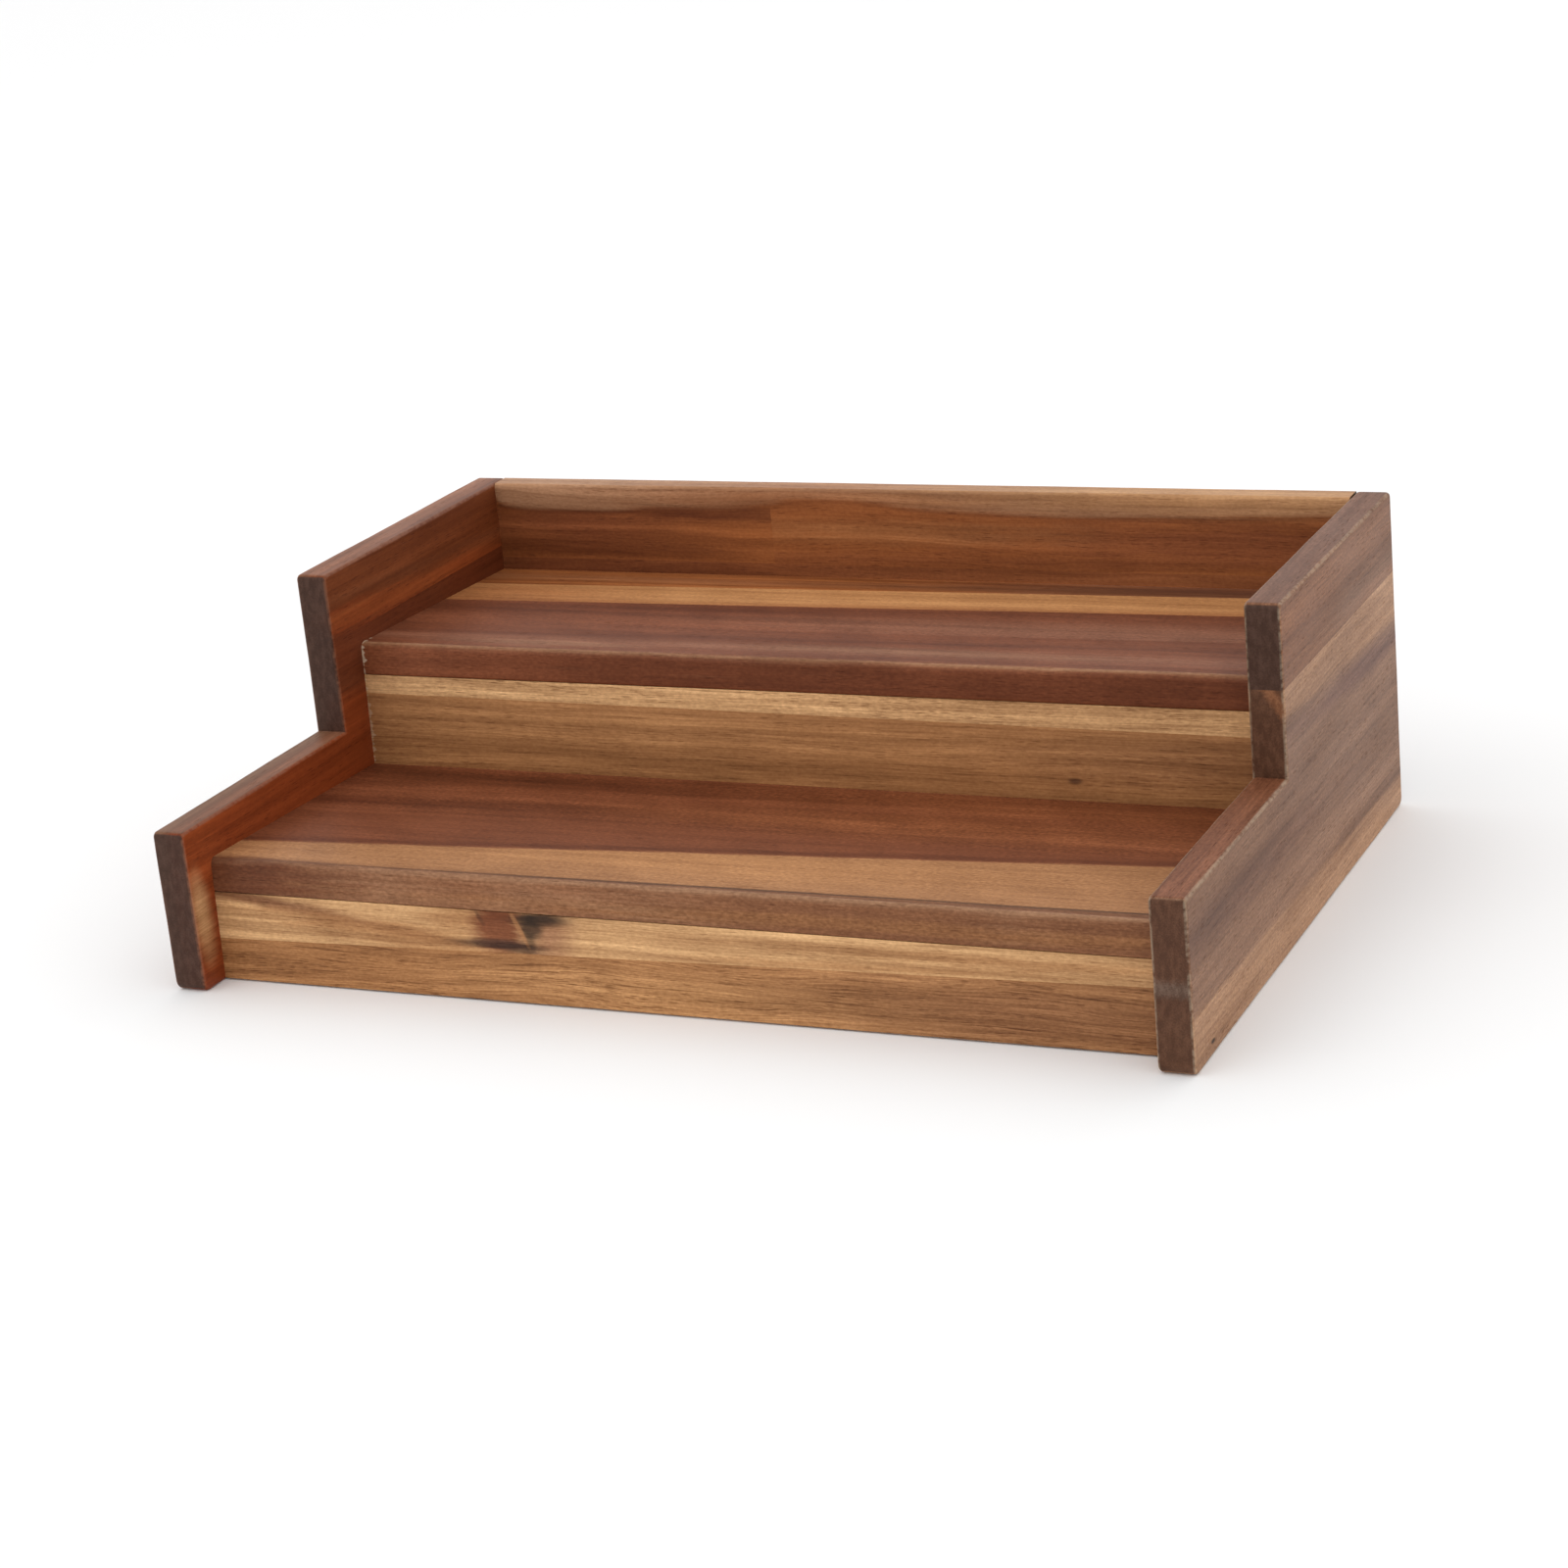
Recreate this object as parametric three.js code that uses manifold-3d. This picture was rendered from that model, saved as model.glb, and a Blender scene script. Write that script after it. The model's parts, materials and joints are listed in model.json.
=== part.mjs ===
// Two-tier counter-top display riser of edge-glued hardwood boards, in millimetres with +Z up.
// X runs along the front from left to right and Y from the front to the back.
// The origin lies on the floor, under the middle of the overall box.

import * as THREE from "three";
import { mergeVertices } from "three/addons/utils/BufferGeometryUtils.js";
import Module from "manifold-3d";

// Overall sizes
const WIDTH = 360;
const DEPTH = 246;
const HEIGHT = 115;
const STEP_HEIGHT = 57; // height of the side panels beside the lower tray
const STEP_DEPTH = 108; // length of that low stretch of the side panels

// Boards
const SIDE_THICKNESS = 12;
const SHELF_THICKNESS = 12;
const RISER_THICKNESS = 12;
const BACK_THICKNESS = 10;
const BACK_HEIGHT = 49;

// Stair of shelves and risers between the side panels
const LOWER_SHELF_HEIGHT = 43.5; // floor to the front edge of the shelf's top
const UPPER_SHELF_HEIGHT = 85;
const LOWER_SETBACK = 14; // front of the side panel to the front edge of the shelf
const UPPER_SETBACK = 18;
const STAIR_PITCH = 2; // degrees by which the shelves fall towards the back
const FLOOR_CLEARANCE = 0.3; // the lower riser stops short of the floor, so the sides carry the load

// Rounded edges
const FOOT_RADIUS = 3.5; // lower corners of the side panel's outline
const CORNER_RADIUS = 2; // upper corners of the side panel's outline
const EDGE_RADIUS = 1.3; // eased edges all round the side panels and along the top of the back
const NOSING_RADIUS = 2.5; // upper front edge of each shelf
const EASED_RADIUS = 0.8; // lower front edge of each shelf
const CURVE_STEPS = 4;
const EDGE_STEPS = 3;

// Glue lines between staves
const GLUE_LINE = 0.2;
const SIDE_BOTTOM_STAVE = 24.5;
const LEFT_TOP_STAVE = 24.5;
const RIGHT_TOP_STAVE = 28.5;
const LOWER_SHELF_MIDDLE_STAVE = 29; // the front stave takes the rest of the lower shelf
const LOWER_SHELF_REAR_STAVE = 35.5;
const UPPER_SHELF_THIRD_STAVE = 24.5; // the front and second staves share the rest of the upper shelf
const UPPER_SHELF_REAR_STAVE = 17;
const UPPER_SHELF_SKEW = 11; // right end of a slanting glue line lies this much further back
const LOWER_RISER_TOP_STAVE = 12.5; // at the middle of the board
const LOWER_RISER_SKEW = 7.5; // right end of its glue line lies this much higher
const UPPER_RISER_TOP_STAVE = 7.5;
const UPPER_RISER_SKEW = -2;
const BACK_TOP_STAVE = 29;
const BACK_BUTT_JOINT = -52.5; // X of the end-to-end joint in the upper stave of the back

// Blind dowels between the side panels and the ends of the boards
const DOWEL_DIAMETER = 6;
const DOWEL_SIDES = 12;
const DOWEL_GRIP = 17; // length inside the board
const DOWEL_CLEARANCE = 0.2; // radial room for glue
const DOWEL_END_ROOM = 0.5; // air at each end of the bore
const BLIND_WALL = 4; // wood left in the side panel behind a bore
const FRONT_DOWEL_INSET = 20; // front edge of a shelf to its front dowel
const REAR_DOWEL_INSET = 30; // rear edge of a shelf to its rear dowel
const RISER_DOWEL_RISE = 10; // lower edge of a riser to its dowel
const BACK_DOWEL_INSET = 14; // upper or lower edge of the back to the nearer dowel

// Derived places
const FRONT = -DEPTH / 2;
const REAR = DEPTH / 2;
const STEP = FRONT + STEP_DEPTH;
const SIDE_INNER = WIDTH / 2 - SIDE_THICKNESS;
const BOARD_LENGTH = 2 * (SIDE_INNER - GLUE_LINE);
const BOARD_START = -BOARD_LENGTH / 2;
const BACK_FACE = REAR - BACK_THICKNESS;
const BACK_BOTTOM = HEIGHT - BACK_HEIGHT;
const PITCH = THREE.MathUtils.degToRad(STAIR_PITCH);
const BEYOND = WIDTH + DEPTH + HEIGHT; // reaches past every board

// Directions that an outline's x, its y and its extrusion take
const AXIS = {
  x: new THREE.Vector3(1, 0, 0),
  y: new THREE.Vector3(0, 1, 0),
  z: new THREE.Vector3(0, 0, 1),
};
const SECTION = new THREE.Matrix4().makeBasis(AXIS.y, AXIS.z, AXIS.x);
const PLAN = new THREE.Matrix4();
const FACE = new THREE.Matrix4().makeBasis(AXIS.x, AXIS.z, AXIS.y.clone().negate());
const UPRIGHT = new THREE.Matrix4().makeBasis(AXIS.z, AXIS.x, AXIS.y);

const WOOD = {
  heart: wood(0x7a4a33),
  dark: wood(0x5c3a2c),
  tan: wood(0xb98759),
  cream: wood(0xc8a072),
  golden: wood(0x8f6439),
  grey: wood(0x7d6455),
  dowel: wood(0xd2b48c),
};

const wasm = await Module();
wasm.setup();

function wood(color) {
  return new THREE.MeshStandardMaterial({ color, roughness: 0.45, metalness: 0 });
}

// Turns a closed geometry into a solid that can be cut.
function toSolid(geometry) {
  geometry.deleteAttribute("normal");
  geometry.deleteAttribute("uv");
  const merged = mergeVertices(geometry);
  return new wasm.Manifold(new wasm.Mesh({
    numProp: 3,
    vertProperties: new Float32Array(merged.attributes.position.array),
    triVerts: new Uint32Array(merged.index.array),
  }));
}

function toGeometry(solid) {
  const mesh = solid.getMesh();
  const geometry = new THREE.BufferGeometry();
  geometry.setAttribute("position", new THREE.BufferAttribute(mesh.vertProperties, mesh.numProp));
  geometry.setIndex(new THREE.BufferAttribute(mesh.triVerts, 1));
  geometry.computeVertexNormals();
  return geometry;
}

function toward(corner, other, distance) {
  const start = new THREE.Vector2(corner[0], corner[1]);
  const direction = new THREE.Vector2(other[0], other[1]).sub(start).normalize();
  return start.addScaledVector(direction, distance);
}

// Closed outline through corners [x, y, radius], each rounded by its radius.
function outline(corners) {
  const shape = new THREE.Shape();
  corners.forEach((corner, index) => {
    const radius = corner[2] ?? 0;
    const entry = toward(corner, corners.at(index - 1), radius);
    const exit = toward(corner, corners[(index + 1) % corners.length], radius);
    if (index === 0) shape.moveTo(entry.x, entry.y);
    else shape.lineTo(entry.x, entry.y);
    if (radius > 0) shape.quadraticCurveTo(corner[0], corner[1], exit.x, exit.y);
  });
  shape.closePath();
  return shape;
}

// Solid swept from an outline over a length from a start, with its end edges rounded by a radius.
function sweep(shape, axes, start, length, radius = 0) {
  const geometry = new THREE.ExtrudeGeometry(shape, {
    depth: length - 2 * radius,
    curveSegments: CURVE_STEPS,
    bevelEnabled: radius > 0,
    bevelThickness: radius,
    bevelSize: radius,
    bevelOffset: -radius,
    bevelSegments: EDGE_STEPS,
  });
  geometry.translate(0, 0, start + radius);
  geometry.applyMatrix4(axes);
  return toSolid(geometry);
}

// Splits a board along glue lines { at, skew } and names the staves between them in order.
// The place of a line is that at the middle of the board, and its skew is over the board's length.
function splitStaves(board, axes, lines, names) {
  const edges = [{ at: -BEYOND, skew: 0 }, ...lines, { at: BEYOND, skew: 0 }];
  const reach = BEYOND / BOARD_LENGTH;
  const ends = (line, room) => [-1, 1].map((end) => [end * BEYOND, line.at + room + end * reach * line.skew]);
  return names.map((name, index) => {
    const low = ends(edges[index], GLUE_LINE / 2);
    const high = ends(edges[index + 1], -GLUE_LINE / 2);
    const lane = sweep(outline([...low, ...high.reverse()]), axes, -BEYOND, 2 * BEYOND);
    return { name, solid: board.intersect(lane) };
  });
}

// Round bar along X with its middle at a place, of the dowel's size plus some room.
function roundBar(place, radialRoom, endRoom) {
  const radius = DOWEL_DIAMETER / 2 + radialRoom;
  const length = SIDE_THICKNESS - BLIND_WALL - DOWEL_END_ROOM + DOWEL_GRIP + 2 * endRoom;
  const geometry = new THREE.CylinderGeometry(radius, radius, length, DOWEL_SIDES);
  geometry.rotateZ(Math.PI / 2);
  geometry.translate(place.x, place.y, place.z);
  return geometry;
}

// Middle of a dowel on the left (-1) or right (1) side at a height and depth in its own frame.
function dowelPlace(hand, y, z) {
  const outer = SIDE_INNER + SIDE_THICKNESS - BLIND_WALL - DOWEL_END_ROOM;
  const inner = SIDE_INNER - DOWEL_GRIP;
  return new THREE.Vector3((hand * (outer + inner)) / 2, y, z);
}

const riser = new THREE.Group();
const stair = new THREE.Group();
stair.position.set(0, FRONT + LOWER_SETBACK, LOWER_SHELF_HEIGHT);
stair.rotation.x = -PITCH;
stair.updateMatrix();
riser.add(stair);

// Places in the stair's own frame, whose origin is the front edge of the lower shelf's top
const upperEdge = new THREE.Vector3(0, STEP + UPPER_SETBACK, UPPER_SHELF_HEIGHT)
  .applyMatrix4(stair.matrix.clone().invert());
const upperUnder = upperEdge.z - SHELF_THICKNESS;
const backReach = BACK_FACE - GLUE_LINE - stair.position.y;
const upperRear = (backReach - upperEdge.z * Math.sin(PITCH)) / Math.cos(PITCH);
const lowerRear = upperEdge.y + RISER_THICKNESS;
const footDrop = LOWER_SHELF_HEIGHT - RISER_THICKNESS * Math.sin(PITCH) - FLOOR_CLEARANCE;
const lowerFoot = -footDrop / Math.cos(PITCH);
const lowerRiserTop = -SHELF_THICKNESS - GLUE_LINE;
const upperRiserTop = upperUnder - GLUE_LINE;

const DOWELS = [
  { name: "lower_riser_dowel", frame: stair, y: RISER_THICKNESS / 2, z: lowerFoot + RISER_DOWEL_RISE },
  { name: "lower_shelf_front_dowel", frame: stair, y: FRONT_DOWEL_INSET, z: -SHELF_THICKNESS / 2 },
  { name: "lower_shelf_rear_dowel", frame: stair, y: lowerRear - REAR_DOWEL_INSET, z: -SHELF_THICKNESS / 2 },
  { name: "upper_riser_dowel", frame: stair, y: upperEdge.y + RISER_THICKNESS / 2, z: RISER_DOWEL_RISE },
  {
    name: "upper_shelf_front_dowel", frame: stair,
    y: upperEdge.y + FRONT_DOWEL_INSET, z: upperEdge.z - SHELF_THICKNESS / 2,
  },
  {
    name: "upper_shelf_rear_dowel", frame: stair,
    y: upperRear - REAR_DOWEL_INSET, z: upperEdge.z - SHELF_THICKNESS / 2,
  },
  { name: "back_upper_dowel", frame: riser, y: REAR - BACK_THICKNESS / 2, z: HEIGHT - BACK_DOWEL_INSET },
  { name: "back_lower_dowel", frame: riser, y: REAR - BACK_THICKNESS / 2, z: BACK_BOTTOM + BACK_DOWEL_INSET },
];

const HANDS = [["left", -1], ["right", 1]];

// Cuts the bores of every dowel from a solid that lies in a given frame.
function cutBores(solid, frame) {
  const intoFrame = frame.matrix.clone().invert();
  let cut = solid;
  for (const dowel of DOWELS) {
    for (const [, hand] of HANDS) {
      const bore = roundBar(dowelPlace(hand, dowel.y, dowel.z), DOWEL_CLEARANCE, DOWEL_END_ROOM);
      bore.applyMatrix4(dowel.frame.matrix).applyMatrix4(intoFrame);
      cut = cut.subtract(toSolid(bore));
    }
  }
  return cut;
}

function addPiece(frame, name, solid, material) {
  const mesh = new THREE.Mesh(toGeometry(solid), material);
  mesh.name = name;
  frame.add(mesh);
}

function addStaves(frame, board, axes, lines, staves) {
  const bored = cutBores(board, frame);
  const pieces = splitStaves(bored, axes, lines, staves.map(([name]) => name));
  pieces.forEach(({ name, solid }, index) => addPiece(frame, name, solid, staves[index][1]));
}

// Stepped side panel, with its grain running from front to back.
function addSidePanel(side, hand, topStave) {
  const profile = outline([
    [FRONT, 0, FOOT_RADIUS],
    [REAR, 0, FOOT_RADIUS],
    [REAR, HEIGHT, CORNER_RADIUS],
    [STEP, HEIGHT, CORNER_RADIUS],
    [STEP, STEP_HEIGHT],
    [FRONT, STEP_HEIGHT, CORNER_RADIUS],
  ]);
  const start = hand > 0 ? SIDE_INNER : -WIDTH / 2;
  const panel = sweep(profile, SECTION, start, SIDE_THICKNESS, EDGE_RADIUS);
  const lines = [{ at: SIDE_BOTTOM_STAVE, skew: 0 }, { at: HEIGHT - topStave, skew: 0 }];
  addStaves(riser, panel, SECTION, lines, [
    [`${side}_side_bottom_stave`, WOOD.tan],
    [`${side}_side_middle_stave`, WOOD.grey],
    [`${side}_side_top_stave`, WOOD.heart],
  ]);
}

// Shelf whose front edge has a rounded nosing, from its front top edge to its rear edge.
function addShelf(front, top, rear, lines, staves) {
  const section = outline([
    [front, top - SHELF_THICKNESS, EASED_RADIUS],
    [rear, top - SHELF_THICKNESS],
    [rear, top],
    [front, top, NOSING_RADIUS],
  ]);
  const shelf = sweep(section, SECTION, BOARD_START, BOARD_LENGTH);
  addStaves(stair, shelf, PLAN, lines, staves);
}

function lowerShelfLines() {
  const rearLine = lowerRear - LOWER_SHELF_REAR_STAVE;
  return [{ at: rearLine - LOWER_SHELF_MIDDLE_STAVE, skew: 0 }, { at: rearLine, skew: 0 }];
}

function upperShelfLines() {
  const rearLine = upperRear - UPPER_SHELF_REAR_STAVE;
  const thirdLine = rearLine - UPPER_SHELF_THIRD_STAVE;
  const frontLine = (upperEdge.y + thirdLine) / 2;
  return [frontLine, thirdLine, rearLine].map((at) => ({ at, skew: UPPER_SHELF_SKEW }));
}

// Upright board under the front of a shelf, with one glue line below its top edge.
function addRiser(name, front, bottom, top, topStave, skew, colors) {
  const rear = front + RISER_THICKNESS;
  const section = outline([[front, bottom], [rear, bottom], [rear, top], [front, top]]);
  const board = sweep(section, SECTION, BOARD_START, BOARD_LENGTH);
  addStaves(stair, board, FACE, [{ at: top - topStave, skew }], [
    [`${name}_bottom_stave`, colors[0]],
    [`${name}_top_stave`, colors[1]],
  ]);
}

// Back rail behind the upper shelf, whose upper stave is joined end to end from two lengths.
function addBack() {
  const section = outline([
    [BACK_FACE, BACK_BOTTOM],
    [REAR, BACK_BOTTOM],
    [REAR, HEIGHT, EDGE_RADIUS],
    [BACK_FACE, HEIGHT, EDGE_RADIUS],
  ]);
  const board = cutBores(sweep(section, SECTION, BOARD_START, BOARD_LENGTH), riser);
  const [lower, upper] = splitStaves(board, FACE, [{ at: HEIGHT - BACK_TOP_STAVE, skew: 0 }], [
    "back_bottom_stave",
    "back_top_stave",
  ]);
  const lengths = splitStaves(upper.solid, UPRIGHT, [{ at: BACK_BUTT_JOINT, skew: 0 }], [
    "back_top_left_stave",
    "back_top_right_stave",
  ]);
  addPiece(riser, lower.name, lower.solid, WOOD.heart);
  addPiece(riser, lengths[0].name, lengths[0].solid, WOOD.dark);
  addPiece(riser, lengths[1].name, lengths[1].solid, WOOD.heart);
}

function addDowels() {
  for (const [side, hand] of HANDS) {
    for (const { name, frame, y, z } of DOWELS) {
      const dowel = new THREE.Mesh(roundBar(dowelPlace(hand, y, z), 0, 0), WOOD.dowel);
      dowel.name = `${side}_${name}`;
      frame.add(dowel);
    }
  }
}

addSidePanel("left", -1, LEFT_TOP_STAVE);
addSidePanel("right", 1, RIGHT_TOP_STAVE);
addShelf(0, 0, lowerRear, lowerShelfLines(), [
  ["lower_shelf_front_stave", WOOD.tan],
  ["lower_shelf_middle_stave", WOOD.heart],
  ["lower_shelf_rear_stave", WOOD.dark],
]);
addRiser(
  "lower_riser", 0, lowerFoot, lowerRiserTop, LOWER_RISER_TOP_STAVE, LOWER_RISER_SKEW,
  [WOOD.golden, WOOD.cream],
);
addRiser(
  "upper_riser", upperEdge.y, GLUE_LINE, upperRiserTop, UPPER_RISER_TOP_STAVE, UPPER_RISER_SKEW,
  [WOOD.golden, WOOD.cream],
);
addShelf(upperEdge.y, upperEdge.z, upperRear, upperShelfLines(), [
  ["upper_shelf_front_stave", WOOD.heart],
  ["upper_shelf_second_stave", WOOD.dark],
  ["upper_shelf_third_stave", WOOD.tan],
  ["upper_shelf_rear_stave", WOOD.golden],
]);
addBack();
addDowels();

export default riser;
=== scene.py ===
"""Looks of a two-tier display riser of edge-glued acacia boards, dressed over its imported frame.

Every board has a frame of its own, in millimetres: along the grain, across it and through its
thickness. The shapes and the finishes both read that frame, so the figure of the wood follows the board.
"""

import json
import logging
import math
from abc import ABC, abstractmethod
from collections.abc import Sequence
from dataclasses import dataclass
from enum import Enum
from typing import ClassVar

import bpy
import numpy as np
from mathutils import Euler, Matrix, Vector


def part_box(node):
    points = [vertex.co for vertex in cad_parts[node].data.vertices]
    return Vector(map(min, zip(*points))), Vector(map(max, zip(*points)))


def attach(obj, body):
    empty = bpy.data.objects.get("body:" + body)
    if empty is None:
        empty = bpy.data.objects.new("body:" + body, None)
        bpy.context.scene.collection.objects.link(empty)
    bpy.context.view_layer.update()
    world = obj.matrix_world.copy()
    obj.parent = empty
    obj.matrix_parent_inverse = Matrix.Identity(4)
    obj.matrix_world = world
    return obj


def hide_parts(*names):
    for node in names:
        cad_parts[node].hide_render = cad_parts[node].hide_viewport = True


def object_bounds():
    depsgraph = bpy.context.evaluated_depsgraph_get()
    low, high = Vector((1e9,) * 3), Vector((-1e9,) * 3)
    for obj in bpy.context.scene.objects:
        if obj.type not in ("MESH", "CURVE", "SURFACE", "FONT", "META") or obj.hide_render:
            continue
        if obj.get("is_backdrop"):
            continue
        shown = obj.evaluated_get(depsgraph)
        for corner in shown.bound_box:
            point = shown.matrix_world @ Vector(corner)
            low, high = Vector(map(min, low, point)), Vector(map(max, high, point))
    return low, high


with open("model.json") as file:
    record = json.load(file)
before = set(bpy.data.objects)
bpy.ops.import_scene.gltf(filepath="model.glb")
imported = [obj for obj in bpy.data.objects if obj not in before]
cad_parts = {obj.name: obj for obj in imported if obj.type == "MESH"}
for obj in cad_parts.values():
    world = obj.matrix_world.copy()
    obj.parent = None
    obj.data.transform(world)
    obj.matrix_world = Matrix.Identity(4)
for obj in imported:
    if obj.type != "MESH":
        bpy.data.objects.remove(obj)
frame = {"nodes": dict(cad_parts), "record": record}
cad_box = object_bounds()

log = logging.getLogger("display_riser")

# Metres in a millimetre. Lengths are in millimetres unless their comment says metres.
MM = 0.001
# Thickness of the glue between two staves.
GLUE_FILM = 0.2
# Points of a quarter round, and the distance between the rings of points along a board.
ARC_STEPS = 7
STATION = 6.0
# Angle in degrees past which an edge is shaded sharp.
SHARP_ANGLE = 40.0
# How far the radius of an eased edge strays, as a share of it, on a carried section and on an outline.
SECTION_RIPPLE = 0.14
OUTLINE_RIPPLE = 0.18
# Waves of that straying, each with its length, its factor on the seed and its share.
RIPPLE_WAVES = ((97.0, 1.0, 0.5), (41.0, 2.3, 0.3), (17.0, 3.7, 0.2))
# Attribute of a mesh that says where its rounded edges are.
ARRIS = "arris"

Node = bpy.types.Node
Socket = bpy.types.NodeSocket
Value = float | Sequence[float] | Socket


class Side(Enum):
    """The two side panels, by the sign of their place on X."""

    LEFT = -1
    RIGHT = 1


class Slot(Enum):
    """Material slots of the record."""

    RED = "acacia_red"
    GREY = "acacia_grey"
    TAN = "acacia_tan"
    CREAM = "acacia_cream"
    GOLDEN = "acacia_golden"


class Timber(Enum):
    """Colours of acacia under a satin oil, as sRGB from 0 to 255."""

    CREAM = (200, 155, 108)
    STRAW = (188, 140, 92)
    TAN = (168, 118, 77)
    OCHRE = (188, 133, 84)
    GOLDEN = (172, 122, 78)
    OLIVE = (158, 108, 66)
    BROWN = (122, 78, 51)
    ORANGE = (136, 62, 28)
    AMBER = (152, 90, 48)
    RUSSET = (140, 82, 47)
    RED = (121, 67, 41)
    ROSE = (140, 92, 68)
    CHESTNUT = (114, 61, 32)
    DARK_RED = (90, 44, 24)
    UMBER = (82, 52, 36)
    GREY = (130, 94, 71)
    GREY_TAN = (162, 121, 90)
    PLUM = (108, 74, 60)
    WALNUT = (67, 46, 37)
    ASH = (104, 88, 77)
    SOOT = (38, 27, 21)
    # Pale glue on the seams, and the colour of the painted highlight along the right panel's edges.
    GLUE_AND_GLINT = (214, 194, 166)
    BIRCH = (214, 184, 146)

    def linear(self) -> tuple[float, float, float, float]:
        """The colour in linear light, by the sRGB curve: a straight foot, then a power of 2.4.

        Returns:
            Red, green and blue from 0 to 1, with full alpha.
        """
        share = np.array(self.value) / 255.0
        curved = np.where(share <= 0.04045, share / 12.92, ((share + 0.055) / 1.055) ** 2.4)
        return (*curved.tolist(), 1.0)


def node_points(node: str) -> np.ndarray:
    """Points of a CAD node.

    Args:
        node: name of the CAD node.

    Returns:
        Array of points by three, in metres.
    """
    vertices = frame["nodes"][node].data.vertices
    points = np.empty(len(vertices) * 3)
    vertices.foreach_get("co", points)
    return points.reshape(-1, 3)


@dataclass(frozen=True)
class BoardFrame:
    """Axes of a board: along the grain, across it, and through it by their cross product.

    Attributes:
        origin: where the board's millimetres start, in metres.
        along: unit vector along the grain.
        across: unit vector across the grain, in the board's face.
    """

    origin: tuple[float, float, float]
    along: tuple[float, float, float]
    across: tuple[float, float, float]

    def axes(self) -> np.ndarray:
        """Rows of unit vectors: along, across and through."""
        return np.array([self.along, self.across, np.cross(self.along, self.across)])

    def place(self, local: np.ndarray) -> np.ndarray:
        """Metres in the shared frame from the board's own millimetres."""
        return np.array(self.origin) + MM * local @ self.axes()

    def extent(self, node: str) -> tuple[np.ndarray, np.ndarray]:
        """Lowest and highest corner of a CAD node in the board's own millimetres.

        Args:
            node: name of the CAD node.

        Returns:
            The two corners, each as along, across and through.
        """
        local = (node_points(node) - np.array(self.origin)) @ self.axes().T / MM
        return local.min(axis=0), local.max(axis=0)

    def turn(self) -> Euler:
        """The turn that takes the shared axes to the board's."""
        return Matrix(self.axes().T.tolist()).to_euler()


def slow_ripple(place: np.ndarray, seed: float) -> np.ndarray:
    """Gentle unevenness of a hand-eased edge: sine waves of three lengths, each by its share, added.

    Args:
        place: distance along the edge.
        seed: phase that sets one edge apart from another.

    Returns:
        Values from about -1 to 1.
    """
    turns = 2.0 * math.pi * place
    return sum(share * np.sin(turns / length + factor * seed) for length, factor, share in RIPPLE_WAVES)


@dataclass
class Shell:
    """Closed skin of a board: rings of points, each ring closed, and a flat cap on the first and last.

    Attributes:
        points: array of rings by points by three, in the board's own millimetres.
        arris: how much of a rounded edge each point is, from 0 on a flat to 1.
    """

    points: np.ndarray
    arris: np.ndarray

    def faces(self) -> tuple[np.ndarray, np.ndarray, np.ndarray]:
        """Corner numbers of the quads between rings and of the two caps.

        Returns:
            The quads, the first cap and the last cap, all wound the same way.
        """
        rings, count = self.points.shape[:2]
        grid = np.arange(rings * count).reshape(rings, count)
        following = np.roll(grid, -1, axis=1)
        quads = np.stack([grid[:-1], following[:-1], following[1:], grid[1:]], axis=-1).reshape(-1, 4)
        return quads, grid[0][::-1], grid[-1]

    def volume(self) -> float:
        """Signed volume, as the sum of the tetrahedra from the origin to fans over every face.

        Returns:
            Cubic millimetres, below zero where the faces point inwards.
        """
        places = self.points.reshape(-1, 3)
        quads, *caps = self.faces()
        fans = [np.stack([np.full(len(cap) - 2, cap[0]), cap[1:-1], cap[2:]], axis=-1) for cap in caps]
        triangles = np.concatenate([quads[:, [0, 1, 2]], quads[:, [0, 2, 3]], *fans])
        corner = places[triangles]
        return float(np.einsum("ij,ij->i", corner[:, 0], np.cross(corner[:, 1], corner[:, 2])).sum() / 6.0)

    def to_object(self, name: str, board: BoardFrame) -> bpy.types.Object:
        """Puts the shell into the scene with its faces pointing out.

        Args:
            name: name of the new piece.
            board: frame that places the shell.

        Returns:
            The new object, at the origin, with its place in its mesh.
        """
        if self.volume() < 0.0:
            self.points = self.points[:, ::-1]
            self.arris = self.arris[:, ::-1]
        quads, first, last = self.faces()
        places = board.place(self.points.reshape(-1, 3))
        mesh = bpy.data.meshes.new(name)
        mesh.from_pydata(places.tolist(), [], [*quads.tolist(), first.tolist(), last.tolist()])
        mesh.attributes.new(ARRIS, "FLOAT", "POINT").data.foreach_set("value", self.arris.ravel())
        mesh.shade_smooth()
        mesh.set_sharp_from_angle(angle=math.radians(SHARP_ANGLE))
        piece = bpy.data.objects.new(name, mesh)
        bpy.context.scene.collection.objects.link(piece)
        weighted = piece.modifiers.new("even_flats", "WEIGHTED_NORMAL")
        weighted.keep_sharp = True
        return piece


@dataclass(frozen=True)
class SectionCorner:
    """Corner of a board's section.

    Attributes:
        across: place across the grain at the middle of the board.
        through: place through the thickness.
        radius: radius of the rounded edge, or 0 for a sharp one.
        lean: how much further across it lies at the right end than at the left.
    """

    across: float
    through: float
    radius: float = 0.0
    lean: float = 0.0


def quarter() -> np.ndarray:
    """Angles of a quarter turn, from 0 to a right angle."""
    return np.linspace(0.0, math.pi / 2.0, ARC_STEPS)


def unit(vector: np.ndarray) -> np.ndarray:
    """The vector at length one."""
    return vector / np.linalg.norm(vector)


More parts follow.
